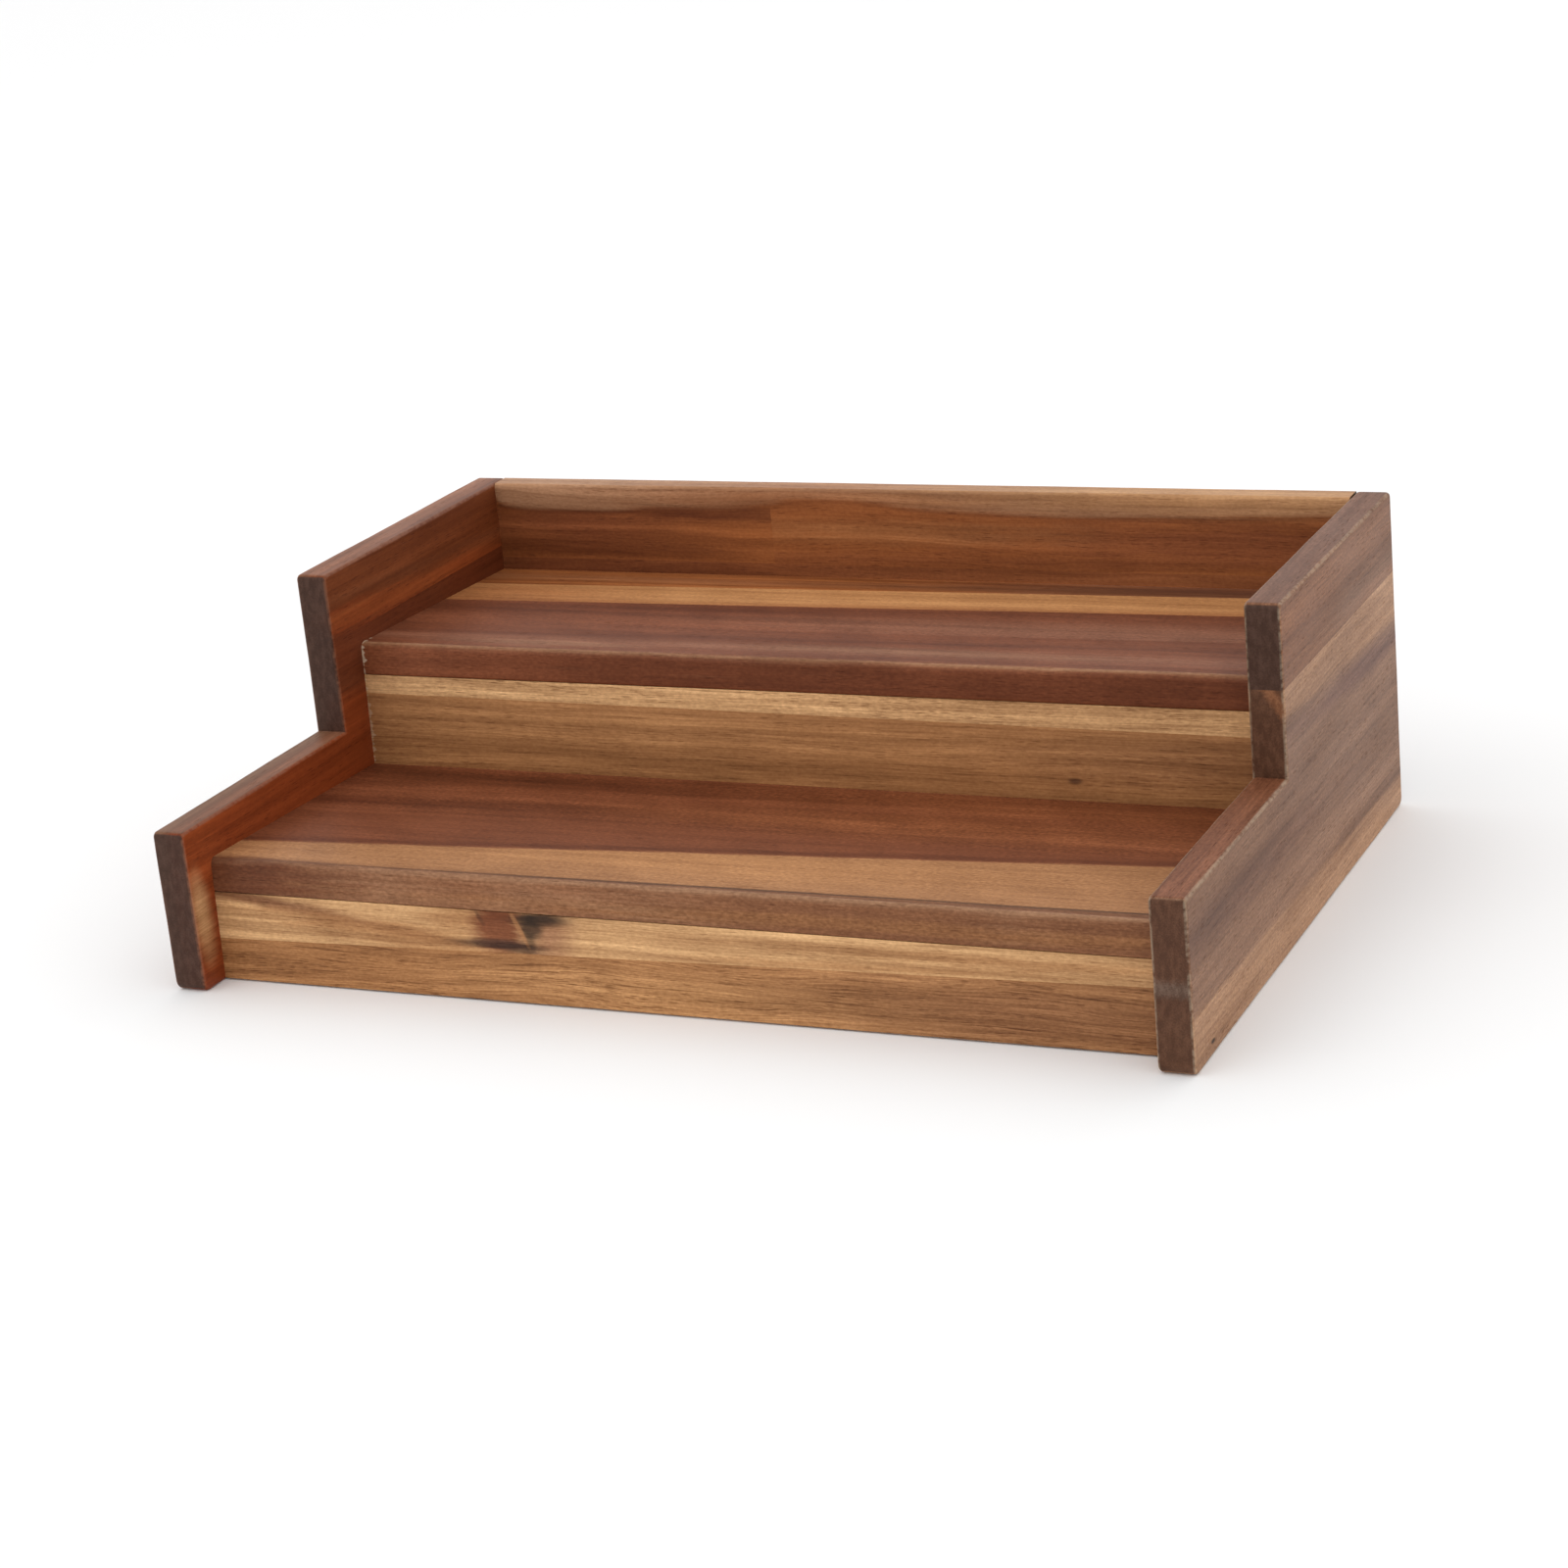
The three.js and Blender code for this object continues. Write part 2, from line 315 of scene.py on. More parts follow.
def carried_board(corners: Sequence[SectionCorner], ends: tuple[float, float], seed: float) -> Shell:
    """Board whose section is carried along the grain.

    A rounded corner is a quarter circle that touches both edges. At each station along the board its
    offset from the sharp corner grows and shrinks with a slow ripple, as sanding by hand leaves it, and
    the corners with a lean slide across in proportion to the way along.

    Args:
        corners: the section, in order round it.
        ends: where the board starts and ends along the grain.
        seed: phase of the ripple.

    Returns:
        The board's shell.
    """
    sharp = np.array([[corner.across, corner.through] for corner in corners])
    bases, offsets, leans, arris = [], [], [], []
    for index, corner in enumerate(corners):
        back = unit(sharp[index - 1] - sharp[index])
        ahead = unit(sharp[(index + 1) % len(sharp)] - sharp[index])
        angle = quarter() if corner.radius else np.zeros(1)
        swing = 1.0 - np.cos(angle)
        offset = np.outer(1.0 - np.sin(angle), back) + np.outer(swing, ahead)
        bases.append(np.tile(sharp[index], (len(angle), 1)))
        offsets.append(corner.radius * offset)
        leans.append(np.full(len(angle), corner.lean))
        arris.append(np.sin(2.0 * angle))
    base, offset = np.concatenate(bases), np.concatenate(offsets)
    lean, edge = np.concatenate(leans), np.concatenate(arris)
    stations = np.linspace(*ends, int((ends[1] - ends[0]) / STATION) + 1)
    share = stations / (ends[1] - ends[0])
    ease = 1.0 + SECTION_RIPPLE * slow_ripple(stations, seed)
    section = base[None] + ease[:, None, None] * offset[None]
    across = section[..., 0] + share[:, None] * lean[None]
    along = np.broadcast_to(stations[:, None], across.shape)
    points = np.stack([along, across, section[..., 1]], axis=-1)
    return Shell(points, np.broadcast_to(edge, across.shape))


@dataclass(frozen=True)
class OutlineCorner:
    """Corner of a panel's outline.

    Attributes:
        along: place along the grain.
        across: place across the grain.
        radius: radius of the rounded corner, or 0 for a sharp one.
        glued: whether the edge that follows is a glue line, which stays sharp.
    """

    along: float
    across: float
    radius: float = 0.0
    glued: bool = False


def eased_panel(
    corners: Sequence[OutlineCorner], faces: tuple[float, float], ease: float, seed: float,
) -> Shell:
    """Flat stave whose outline is carried through its thickness along a rounded edge.

    The outline runs anticlockwise. Towards each face its points move in by the radius times one less
    the sine of an angle, while they near the face by the radius times one less the cosine, so every free
    edge is a quarter round. Along a glue line they don't move in. The radius ripples along the outline.

    Args:
        corners: the outline, in order.
        faces: where the two faces lie through the thickness.
        ease: radius of the eased edges.
        seed: phase of the ripple.

    Returns:
        The stave's shell.
    """
    sharp = np.array([[corner.along, corner.across] for corner in corners])
    count = len(corners)
    ahead = np.array([unit(sharp[(index + 1) % count] - sharp[index]) for index in range(count)])
    normal = np.stack([ahead[:, 1], -ahead[:, 0]], axis=-1)
    free = np.array([0.0 if corner.glued else 1.0 for corner in corners])
    starts, moves = [], []
    for index, corner in enumerate(corners):
        before, after = normal[index - 1], normal[index]
        if corner.radius:
            angle = quarter()
            swung = np.outer(np.cos(angle), before) + np.outer(np.sin(angle), after)
            starts.append(sharp[index] + corner.radius * (swung - before - after))
            moves.append(swung)
        else:
            starts.append(sharp[index][None])
            moves.append((free[index - 1] * before + free[index] * after)[None])
    points, inward = [], []
    for index in range(count):
        first, last = starts[index][-1], starts[(index + 1) % count][0]
        steps = max(int(np.linalg.norm(last - first) / STATION), 1)
        share = np.arange(1, steps)[:, None] / steps
        points.extend([starts[index], first + share * (last - first)])
        inward.extend([moves[index], np.tile(free[index] * normal[index], (steps - 1, 1))])
    outline, inward = np.concatenate(points), np.concatenate(inward)
    radius = ease * (1.0 + OUTLINE_RIPPLE * slow_ripple(outline.sum(axis=1), seed))
    angle = quarter()
    moved = np.concatenate([1.0 - np.sin(angle), 1.0 - np.sin(angle[::-1])])
    sunk = np.concatenate([1.0 - np.cos(angle), np.cos(angle[::-1]) - 1.0])
    face = np.repeat(np.array(faces), len(angle))
    flat = outline[None] - (moved[:, None] * radius[None])[..., None] * inward[None]
    through = face[:, None] + sunk[:, None] * radius[None]
    bend = np.sin(2.0 * np.concatenate([angle, angle[::-1]]))
    arris = bend[:, None] * np.minimum(np.linalg.norm(inward, axis=1), 1.0)[None]
    return Shell(np.concatenate([flat, through[..., None]], axis=-1), arris)


class Wiring:
    """Short ways to add nodes to one tree and to link them.

    A Mix node has sockets of the same name for each kind of data, so those of a colour go by number.
    """

    MIX_MASK, MIX_BASE, MIX_OTHER, MIX_RESULT = 0, 6, 7, 2

    def __init__(self, tree: bpy.types.NodeTree) -> None:
        """Keeps the tree that the nodes go into."""
        self.tree = tree

    def feed(self, socket: Socket, value: Value) -> None:
        """Links a socket to another one, or sets its constant.

        Args:
            socket: the input to feed.
            value: the output that it is linked to, or its constant.
        """
        if isinstance(value, Socket):
            self.tree.links.new(value, socket)
        else:
            socket.default_value = value

    def node(self, kind: str, values: dict[int | str, Value], **settings: object) -> Node:
        """Adds a node.

        Args:
            kind: name of the node's type.
            values: inputs by number or name, each a socket or a constant.
            **settings: properties of the node.

        Returns:
            The new node.
        """
        made = self.tree.nodes.new(kind)
        for name, setting in settings.items():
            setattr(made, name, setting)
        for key, value in values.items():
            self.feed(made.inputs[key], value)
        return made

    def math(self, operation: str, *operands: Value) -> Socket:
        """Result of a math node on one to three operands."""
        return self.node("ShaderNodeMath", dict(enumerate(operands)), operation=operation).outputs[0]

    def vector(self, operation: str, *operands: Value) -> Socket:
        """Vector that a vector math node gives."""
        made = self.node("ShaderNodeVectorMath", dict(enumerate(operands)), operation=operation)
        return made.outputs["Vector"]

    def parts(self, vector: Value) -> tuple[Socket, Socket, Socket]:
        """The three numbers of a vector."""
        return tuple(self.node("ShaderNodeSeparateXYZ", {0: vector}).outputs)

    def join(self, *numbers: Value) -> Socket:
        """Vector of three numbers."""
        return self.node("ShaderNodeCombineXYZ", dict(enumerate(numbers))).outputs[0]

    def step(self, value: Value, low: Value, high: Value) -> Socket:
        """Smooth rise from 0 at the low value to 1 at the high one."""
        values = {"Value": value, "From Min": low, "From Max": high}
        return self.node("ShaderNodeMapRange", values, interpolation_type="SMOOTHSTEP").outputs[0]

    def noise(self, vector: Value, scale: Sequence[float], detail: float = 2.0) -> Socket:
        """Noise from 0 to 1 over a vector that is scaled on each axis first."""
        values = {"Vector": self.vector("MULTIPLY", vector, scale), "Scale": 1.0, "Detail": detail}
        return self.node("ShaderNodeTexNoise", values).outputs[0]

    def centre(self, value: Value) -> Socket:
        """A value from 0 to 1, less its middle of a half."""
        return self.math("SUBTRACT", value, 0.5)

    def mix(self, mask: Value, base: Value, other: Value) -> Socket:
        """Colour between a base and another.

        Args:
            mask: 0 for the base and 1 for the other colour.
            base: the base colour.
            other: the other colour.

        Returns:
            The mixed colour.
        """
        made = self.node("ShaderNodeMix", {}, data_type="RGBA")
        for number, value in ((self.MIX_MASK, mask), (self.MIX_BASE, base), (self.MIX_OTHER, other)):
            self.feed(made.inputs[number], value)
        return made.outputs[self.MIX_RESULT]


class Effect(ABC):
    """Effect on a surface, kept as one shader node group with named inputs and outputs.

    In its constants, a scale is a noise's waves in each millimetre along, across and through, and an
    edge is the two values between which a mask rises.
    """

    TITLE: str
    INPUTS: dict[str, float | str]
    OUTPUTS: tuple[str, ...]
    KINDS = {"vector": "NodeSocketVector", "colour": "NodeSocketColor"}

    @classmethod
    def tree(cls) -> bpy.types.ShaderNodeTree:
        """The group's tree, built at its first use.

        Returns:
            The tree, with its sockets and nodes.
        """
        made = bpy.data.node_groups.get(cls.TITLE)
        if made:
            return made
        made = bpy.data.node_groups.new(cls.TITLE, "ShaderNodeTree")
        for name, usual in cls.INPUTS.items():
            kind = cls.KINDS.get(usual, "NodeSocketFloat")
            socket = made.interface.new_socket(name, in_out="INPUT", socket_type=kind)
            if usual not in cls.KINDS:
                socket.default_value = usual
        for name in cls.OUTPUTS:
            kind = "NodeSocketColor" if name == "Colour" else "NodeSocketFloat"
            made.interface.new_socket(name, in_out="OUTPUT", socket_type=kind)
        wiring = Wiring(made)
        given = wiring.node("NodeGroupInput", {}).outputs
        results = cls.draw(wiring, {name: given[name] for name in cls.INPUTS})
        wiring.node("NodeGroupOutput", dict(zip(cls.OUTPUTS, results, strict=True)))
        return made

    @classmethod
    def place(cls, wiring: Wiring, values: dict[str, Value]) -> list[Socket]:
        """Places the group in a material.

        Args:
            wiring: the material's wiring.
            values: the group's inputs by name.

        Returns:
            The group's outputs in order.
        """
        made = wiring.node("ShaderNodeGroup", {}, node_tree=cls.tree())
        for name, value in values.items():
            wiring.feed(made.inputs[name], value)
        return list(made.outputs)

    @classmethod
    @abstractmethod
    def draw(cls, wiring: Wiring, given: dict[str, Socket]) -> tuple[Socket, ...]:
        """Draws the group's nodes.

        Args:
            wiring: the group's wiring.
            given: the group's inputs by name.

        Returns:
            The group's results in the order of its outputs.
        """


class GrainWander(Effect):
    """Slow sideways drift of the grain along a board, in millimetres."""

    TITLE = "grain_wander"
    INPUTS = {"Grain": "vector", "Amount": 2.0}
    OUTPUTS = ("Drift",)
    DRIFT_SCALE = (0.007, 0.04, 0.04)
    GAIN = 4.0

    @classmethod
    def draw(cls, wiring: Wiring, given: dict[str, Socket]) -> tuple[Socket, ...]:
        """Noise of about 140 by 25 mm, centred on zero and scaled by the amount.

        Args:
            wiring: the group's wiring.
            given: the group's inputs by name.

        Returns:
            The drift.
        """
        centred = wiring.centre(wiring.noise(given["Grain"], cls.DRIFT_SCALE))
        return (wiring.math("MULTIPLY", centred, wiring.math("MULTIPLY", given["Amount"], cls.GAIN)),)


class GrowthRings(Effect):
    """Year rings round a pith, cut by the board into bands on its faces and arcs on its ends."""

    TITLE = "growth_rings"
    INPUTS = {"Grain": "vector", "Pith Across": 0.0, "Pith Depth": -60.0, "Spacing": 5.0, "Taper": 0.015}
    OUTPUTS = ("Mask",)
    UNEVEN_SCALE, UNEVEN_REACH = (0.012, 0.16, 0.16), 7.0
    RISE_EDGE, FALL_EDGE = (0.25, 0.9), (1.0, 0.9)
    PATCHY_SCALE, PATCHY_EDGE = (0.006, 0.09, 0.09), (0.3, 0.7)

    @classmethod
    def draw(cls, wiring: Wiring, given: dict[str, Socket]) -> tuple[Socket, ...]:
        """Distance from the pith, plus taper and noise, as a saw tooth.

        The tooth darkens towards each ring's end, and the rings come and go over the board.

        Args:
            wiring: the group's wiring.
            given: the group's inputs by name.

        Returns:
            The mask of the late wood.
        """
        along, across, through = wiring.parts(given["Grain"])
        aside = wiring.math("SUBTRACT", across, given["Pith Across"])
        deep = wiring.math("SUBTRACT", through, given["Pith Depth"])
        squares = wiring.math("MULTIPLY_ADD", aside, aside, wiring.math("MULTIPLY", deep, deep))
        reach = wiring.math("MULTIPLY_ADD", along, given["Taper"], wiring.math("SQRT", squares))
        uneven = wiring.noise(given["Grain"], cls.UNEVEN_SCALE, detail=3.0)
        strayed = wiring.math("MULTIPLY_ADD", uneven, cls.UNEVEN_REACH, reach)
        tooth = wiring.math("FRACT", wiring.math("DIVIDE", strayed, given["Spacing"]))
        rise, fall = wiring.step(tooth, *cls.RISE_EDGE), wiring.step(tooth, *cls.FALL_EDGE)
        late = wiring.math("MULTIPLY", rise, fall)
        strength = wiring.step(wiring.noise(given["Grain"], cls.PATCHY_SCALE), *cls.PATCHY_EDGE)
        return (wiring.math("MULTIPLY", late, strength),)


class GrainTone(Effect):
    """Darker and paler wood along the grain at four widths, and short specks, in stops of brightness."""

    TITLE = "grain_tone"
    INPUTS = {"Grain": "vector", "Broad": 0.3, "Streak": 0.3, "Fibre": 0.3, "Lines": 0.3, "Speck": 0.1}
    OUTPUTS = ("Tone", "Fibre")
    LIFT, CONTRAST = 0.05, 5.0
    BROAD_SCALE = (0.005, 0.085, 0.085)
    STREAK_SCALE = (0.008, 0.32, 0.32)
    FINE_SCALE, FINE_SHARE = (0.022, 1.2, 1.2), 0.45
    HAIR_SCALE, HAIR_SHARE = (0.06, 3.2, 3.2), 0.55
    SPECK_SCALE = (0.6, 1.3, 1.3)
    LINE_SCALE, LINE_EDGE = (0.026, 0.85, 0.85), (0.57, 0.70)

    @classmethod
    def draw(cls, wiring: Wiring, given: dict[str, Socket]) -> tuple[Socket, ...]:
        """Noises about 12, 3, 0.8 and 0.3 mm wide, weighed and centred, with specks, less dark lines.

        Args:
            wiring: the group's wiring.
            given: the group's inputs by name.

        Returns:
            The tone in stops, and the fibres from 0 to 1.
        """
        grain = given["Grain"]
        broad = wiring.noise(grain, cls.BROAD_SCALE)
        streak = wiring.noise(grain, cls.STREAK_SCALE, detail=3.0)
        fine = wiring.noise(grain, cls.FINE_SCALE, detail=2.5)
        hair = wiring.noise(grain, cls.HAIR_SCALE, detail=1.5)
        thick = wiring.math("MULTIPLY", fine, cls.FINE_SHARE)
        fibre = wiring.math("MULTIPLY_ADD", hair, cls.HAIR_SHARE, thick)
        speck = wiring.noise(grain, cls.SPECK_SCALE, detail=3.0)
        tone: Value = cls.LIFT
        for noise, weight in ((broad, "Broad"), (streak, "Streak"), (fibre, "Fibre"), (speck, "Speck")):
            swing = wiring.math("MULTIPLY", wiring.centre(noise), cls.CONTRAST)
            tone = wiring.math("MULTIPLY_ADD", swing, given[weight], tone)
        lines = wiring.step(wiring.noise(grain, cls.LINE_SCALE, detail=2.5), *cls.LINE_EDGE)
        dark = wiring.math("MULTIPLY", lines, wiring.math("MULTIPLY", given["Lines"], -1.0))
        return wiring.math("ADD", tone, dark), fibre


class WoodTone(Effect):
    """Colour of wood made paler or darker, where dark wood turns redder."""

    TITLE = "wood_tone"
    INPUTS = {"Plain": "colour", "Tone": 0.0}
    OUTPUTS = ("Colour",)
    TONE_SHARES = (0.84, 1.0, 1.12)

    @classmethod
    def draw(cls, wiring: Wiring, given: dict[str, Socket]) -> tuple[Socket, ...]:
        """Two to the power of the tone, a little less of it for red and a little more for blue.

        Args:
            wiring: the group's wiring.
            given: the group's inputs by name.

        Returns:
            The colour times that gain.
        """
        stops = [wiring.math("MULTIPLY", given["Tone"], share) for share in cls.TONE_SHARES]
        gains = [wiring.math("POWER", 2.0, stop) for stop in stops]
        return (wiring.vector("MULTIPLY", given["Plain"], wiring.join(*gains)),)


class OpenPores(Effect):
    """Short dark dashes where the knife opened the pores."""

    TITLE = "open_pores"
    INPUTS = {"Grain": "vector", "Share": 0.3}
    OUTPUTS = ("Mask",)
    CELL_SCALE, DASH_EDGE = (0.16, 2.0, 2.0), (0.42, 0.16)
    CROWD_SCALE, CROWD_EDGE, CROWD_GAIN = (0.02, 0.15, 0.15), (0.35, 0.65), 2.0

    @classmethod
    def draw(cls, wiring: Wiring, given: dict[str, Socket]) -> tuple[Socket, ...]:
        """Cells of about 6 by 0.5 mm, with a dash in the middle of a share of them that comes and goes.

        Args:
            wiring: the group's wiring.
            given: the group's inputs by name.

        Returns:
            The mask of the dashes.
        """
        stretched = wiring.vector("MULTIPLY", given["Grain"], cls.CELL_SCALE)
        cells = wiring.node("ShaderNodeTexVoronoi", {"Vector": stretched, "Scale": 1.0})
        dash = wiring.step(cells.outputs["Distance"], *cls.DASH_EDGE)
        chance = wiring.parts(cells.outputs["Color"])[0]
        crowd = wiring.step(wiring.noise(given["Grain"], cls.CROWD_SCALE), *cls.CROWD_EDGE)
        likely = wiring.math("MULTIPLY", given["Share"], wiring.math("MULTIPLY", crowd, cls.CROWD_GAIN))
        kept = wiring.math("LESS_THAN", chance, likely)
        return (wiring.math("MULTIPLY", dash, kept),)


class RippledFigure(Effect):
    """Silky cross bands of interlocked grain."""

    TITLE = "rippled_figure"
    INPUTS = {"Grain": "vector"}
    OUTPUTS = ("Mask",)
    SHEAR = 0.6
    BAND_SCALE, BAND_EDGE = (0.05, 0.035, 0.035), (0.35, 0.68)

    @classmethod
    def draw(cls, wiring: Wiring, given: dict[str, Socket]) -> tuple[Socket, ...]:
        """Noise of about 20 mm along by 30 mm across, sheared a little.

        Args:
            wiring: the group's wiring.
            given: the group's inputs by name.

        Returns:
            The mask of the bands.
        """
        along, across, through = wiring.parts(given["Grain"])
        sheared = wiring.join(wiring.math("MULTIPLY_ADD", across, cls.SHEAR, along), across, through)
        return (wiring.step(wiring.noise(sheared, cls.BAND_SCALE), *cls.BAND_EDGE),)


class ColourStrip(Effect):
    """Strip of another colour along the grain, such as sapwood beside heartwood."""

    TITLE = "colour_strip"
    INPUTS = {
        "Grain": "vector", "Middle": 0.0, "Half Width": 5.0, "Slope": 0.0, "Depth Slope": 0.0,
        "Softness": 1.0, "Wander": 1.0,
    }
    OUTPUTS = ("Mask",)
    WAVER_SCALE = (0.012, 0.012, 0.012)
    FEATHER_SCALE, FEATHER_GAIN = (0.02, 0.9, 0.9), 2.0

    @classmethod
    def draw(cls, wiring: Wiring, given: dict[str, Socket]) -> tuple[Socket, ...]:
        """One inside the half width, falling over the softness, about a middle that slopes and wanders.

        Args:
            wiring: the group's wiring.
            given: the group's inputs by name.

        Returns:
            The mask of the strip.
        """
        along, across, through = wiring.parts(given["Grain"])
        middle = wiring.math("MULTIPLY_ADD", along, given["Slope"], given["Middle"])
        middle = wiring.math("MULTIPLY_ADD", through, given["Depth Slope"], middle)
        waver = wiring.noise(given["Grain"], cls.WAVER_SCALE, detail=3.0)
        drift = wiring.math("MULTIPLY", wiring.centre(waver), given["Wander"])
        away = wiring.math("ABSOLUTE", wiring.math("SUBTRACT", wiring.math("ADD", across, drift), middle))
        feathers = wiring.noise(given["Grain"], cls.FEATHER_SCALE)
        past = wiring.math("SUBTRACT", away, given["Half Width"])
        ragged = wiring.math("MULTIPLY", wiring.centre(feathers), given["Softness"])
        edge = wiring.math("MULTIPLY_ADD", ragged, cls.FEATHER_GAIN, past)
        return (wiring.step(edge, given["Softness"], wiring.math("MULTIPLY", given["Softness"], -1.0)),)


class ColourPatch(Effect):
    """Soft patch of another colour, drawn out along the grain."""

    TITLE = "colour_patch"
    INPUTS = {
        "Grain": "vector", "Along": 0.0, "Across": 0.0, "Length": 30.0, "Width": 6.0, "Turn": 0.0,
        "Softness": 0.5, "Ragged": 0.4,
    }
    OUTPUTS = ("Mask",)
    RIM_SCALE, RIM_GAIN = (0.06, 0.5, 0.5), 2.0

    @classmethod
    def draw(cls, wiring: Wiring, given: dict[str, Socket]) -> tuple[Socket, ...]:
        """One inside a turned ellipse of the half length and half width, with a noisy and soft rim.

        Args:
            wiring: the group's wiring.
            given: the group's inputs by name.

        Returns:
            The mask of the patch.
        """
        along, across, _ = wiring.parts(given["Grain"])
        ahead = wiring.math("SUBTRACT", along, given["Along"])
        aside = wiring.math("SUBTRACT", across, given["Across"])
        sine, cosine = wiring.math("SINE", given["Turn"]), wiring.math("COSINE", given["Turn"])
        long_way = wiring.math("MULTIPLY_ADD", ahead, cosine, wiring.math("MULTIPLY", aside, sine))
        sidelong, forward = wiring.math("MULTIPLY", aside, cosine), wiring.math("MULTIPLY", ahead, sine)
        short_way = wiring.math("SUBTRACT", sidelong, forward)
        far = wiring.math("DIVIDE", long_way, given["Length"])
        wide = wiring.math("DIVIDE", short_way, given["Width"])
        squares = wiring.math("MULTIPLY_ADD", far, far, wiring.math("MULTIPLY", wide, wide))
        uneven = wiring.centre(wiring.noise(given["Grain"], cls.RIM_SCALE, detail=3.0))
        strayed = wiring.math("MULTIPLY", uneven, wiring.math("MULTIPLY", given["Ragged"], cls.RIM_GAIN))
        reach = wiring.math("ADD", strayed, wiring.math("SQRT", squares))
        outer = wiring.math("ADD", given["Softness"], 1.0)
        return (wiring.step(reach, outer, wiring.math("SUBTRACT", 1.0, given["Softness"])),)


class EndGrain(Effect):
    """Cut ends of the fibres, which drink more oil and look darker and freckled."""

    TITLE = "end_grain"
    INPUTS = {"Grain": "vector", "Facing": 0.0}
    OUTPUTS = ("Mask", "Freckle")
    FRECKLE_SCALE, FRECKLE_SHARE = (0.3, 1.9, 1.9), 0.4
    CLOUD_SCALE, CLOUD_SHARE = (0.1, 0.22, 0.5), 0.6
    CUT_EDGE, MOTTLE_EDGE = (0.55, 0.85), (0.38, 0.62)

    @classmethod
    def draw(cls, wiring: Wiring, given: dict[str, Socket]) -> tuple[Socket, ...]:
        """A rise where the surface faces along the grain, and noises of half and of three millimetres.

        Args:
            wiring: the group's wiring.
            given: the group's inputs by name.

        Returns:
            The mask of the cut ends, and their freckles.
        """
        freckle = wiring.noise(given["Grain"], cls.FRECKLE_SCALE, detail=3.0)
        cloud = wiring.noise(given["Grain"], cls.CLOUD_SCALE, detail=3.0)
        small = wiring.math("MULTIPLY", freckle, cls.FRECKLE_SHARE)
        mottle = wiring.math("MULTIPLY_ADD", cloud, cls.CLOUD_SHARE, small)
        return wiring.step(given["Facing"], *cls.CUT_EDGE), wiring.step(mottle, *cls.MOTTLE_EDGE)


class WornArrisAndHighlight(Effect):
    """Edges where sanding cut through the oil to paler wood, and a painted highlight along the rounded
    edges.
    """

    TITLE = "worn_arris_and_highlight"
    INPUTS = {"Grain": "vector", "Arris": 0.0}
    OUTPUTS = ("Mask",)
    COARSE_SCALE, COARSE_SHARE = (0.04, 0.06, 0.06), 0.4
    FINE_SCALE, FINE_SHARE = (0.45, 0.6, 0.6), 0.6
    RIM_EDGE, BREAK_EDGE = (0.15, 0.95), (0.36, 0.6)

    @classmethod
    def draw(cls, wiring: Wiring, given: dict[str, Socket]) -> tuple[Socket, ...]:
        """The rounded edge, broken by noise of about 25 and 2 mm.

        Args:
            wiring: the group's wiring.
            given: the group's inputs by name.

        Returns:
            The mask of the pale edges, sanded wood and painted highlight together.
        """
        coarse = wiring.noise(given["Grain"], cls.COARSE_SCALE)
        fine = wiring.noise(given["Grain"], cls.FINE_SCALE, detail=2.5)
        large = wiring.math("MULTIPLY", coarse, cls.COARSE_SHARE)
        broken = wiring.math("MULTIPLY_ADD", fine, cls.FINE_SHARE, large)
        rim = wiring.step(given["Arris"], *cls.RIM_EDGE)
        return (wiring.math("MULTIPLY", rim, wiring.step(broken, *cls.BREAK_EDGE)),)


class SatinOil(Effect):
    """Satin oil finish: where it shines less, and its faint relief."""

    TITLE = "satin_oil"
    INPUTS = {"Grain": "vector", "Fibre": 0.0, "Pores": 0.0, "Roughness": 0.42}
    OUTPUTS = ("Roughness", "Relief")
    CLOUD_SCALE, CLOUD_ROUGH = (0.02, 0.06, 0.06), 0.16
    WAVE_SCALE, WAVE_RELIEF = (0.025, 0.12, 0.12), 0.55
    FIBRE_ROUGH, FIBRE_RELIEF = 0.06, -0.10
    PORE_ROUGH, PORE_RELIEF = 0.15, -0.4

    @classmethod
    def draw(cls, wiring: Wiring, given: dict[str, Socket]) -> tuple[Socket, ...]:
        """Cloudy roughness that rises in the pores, and a relief of fibre, pores and slow sanding waves.

        Args:
            wiring: the group's wiring.
            given: the group's inputs by name.

        Returns:
            The roughness, and the height of the relief.
        """
        cloud = wiring.centre(wiring.noise(given["Grain"], cls.CLOUD_SCALE, detail=3.0))
        rough = wiring.math("MULTIPLY_ADD", cloud, cls.CLOUD_ROUGH, given["Roughness"])
        rough = wiring.math("MULTIPLY_ADD", given["Fibre"], cls.FIBRE_ROUGH, rough)
        rough = wiring.math("MULTIPLY_ADD", given["Pores"], cls.PORE_ROUGH, rough)
        waves = wiring.noise(given["Grain"], cls.WAVE_SCALE, detail=1.0)
        relief = wiring.math("MULTIPLY", waves, cls.WAVE_RELIEF)
        relief = wiring.math("MULTIPLY_ADD", given["Fibre"], cls.FIBRE_RELIEF, relief)
        return rough, wiring.math("MULTIPLY_ADD", given["Pores"], cls.PORE_RELIEF, relief)


def fade_through(wiring: Wiring, grain: Socket, mask: Socket, near: tuple[float, float] | None) -> Socket:
    """Keeps a mask to one side of a board.

    Args:
        wiring: the material's wiring.
        grain: the board's own millimetres.
        mask: the mask to keep.
        near: depths through the board where none of it shows and where all of it does, if it fades.

    Returns:
        The mask times that rise.
    """
    if near is None:
        return mask
    return wiring.math("MULTIPLY", mask, wiring.step(wiring.parts(grain)[2], *near))


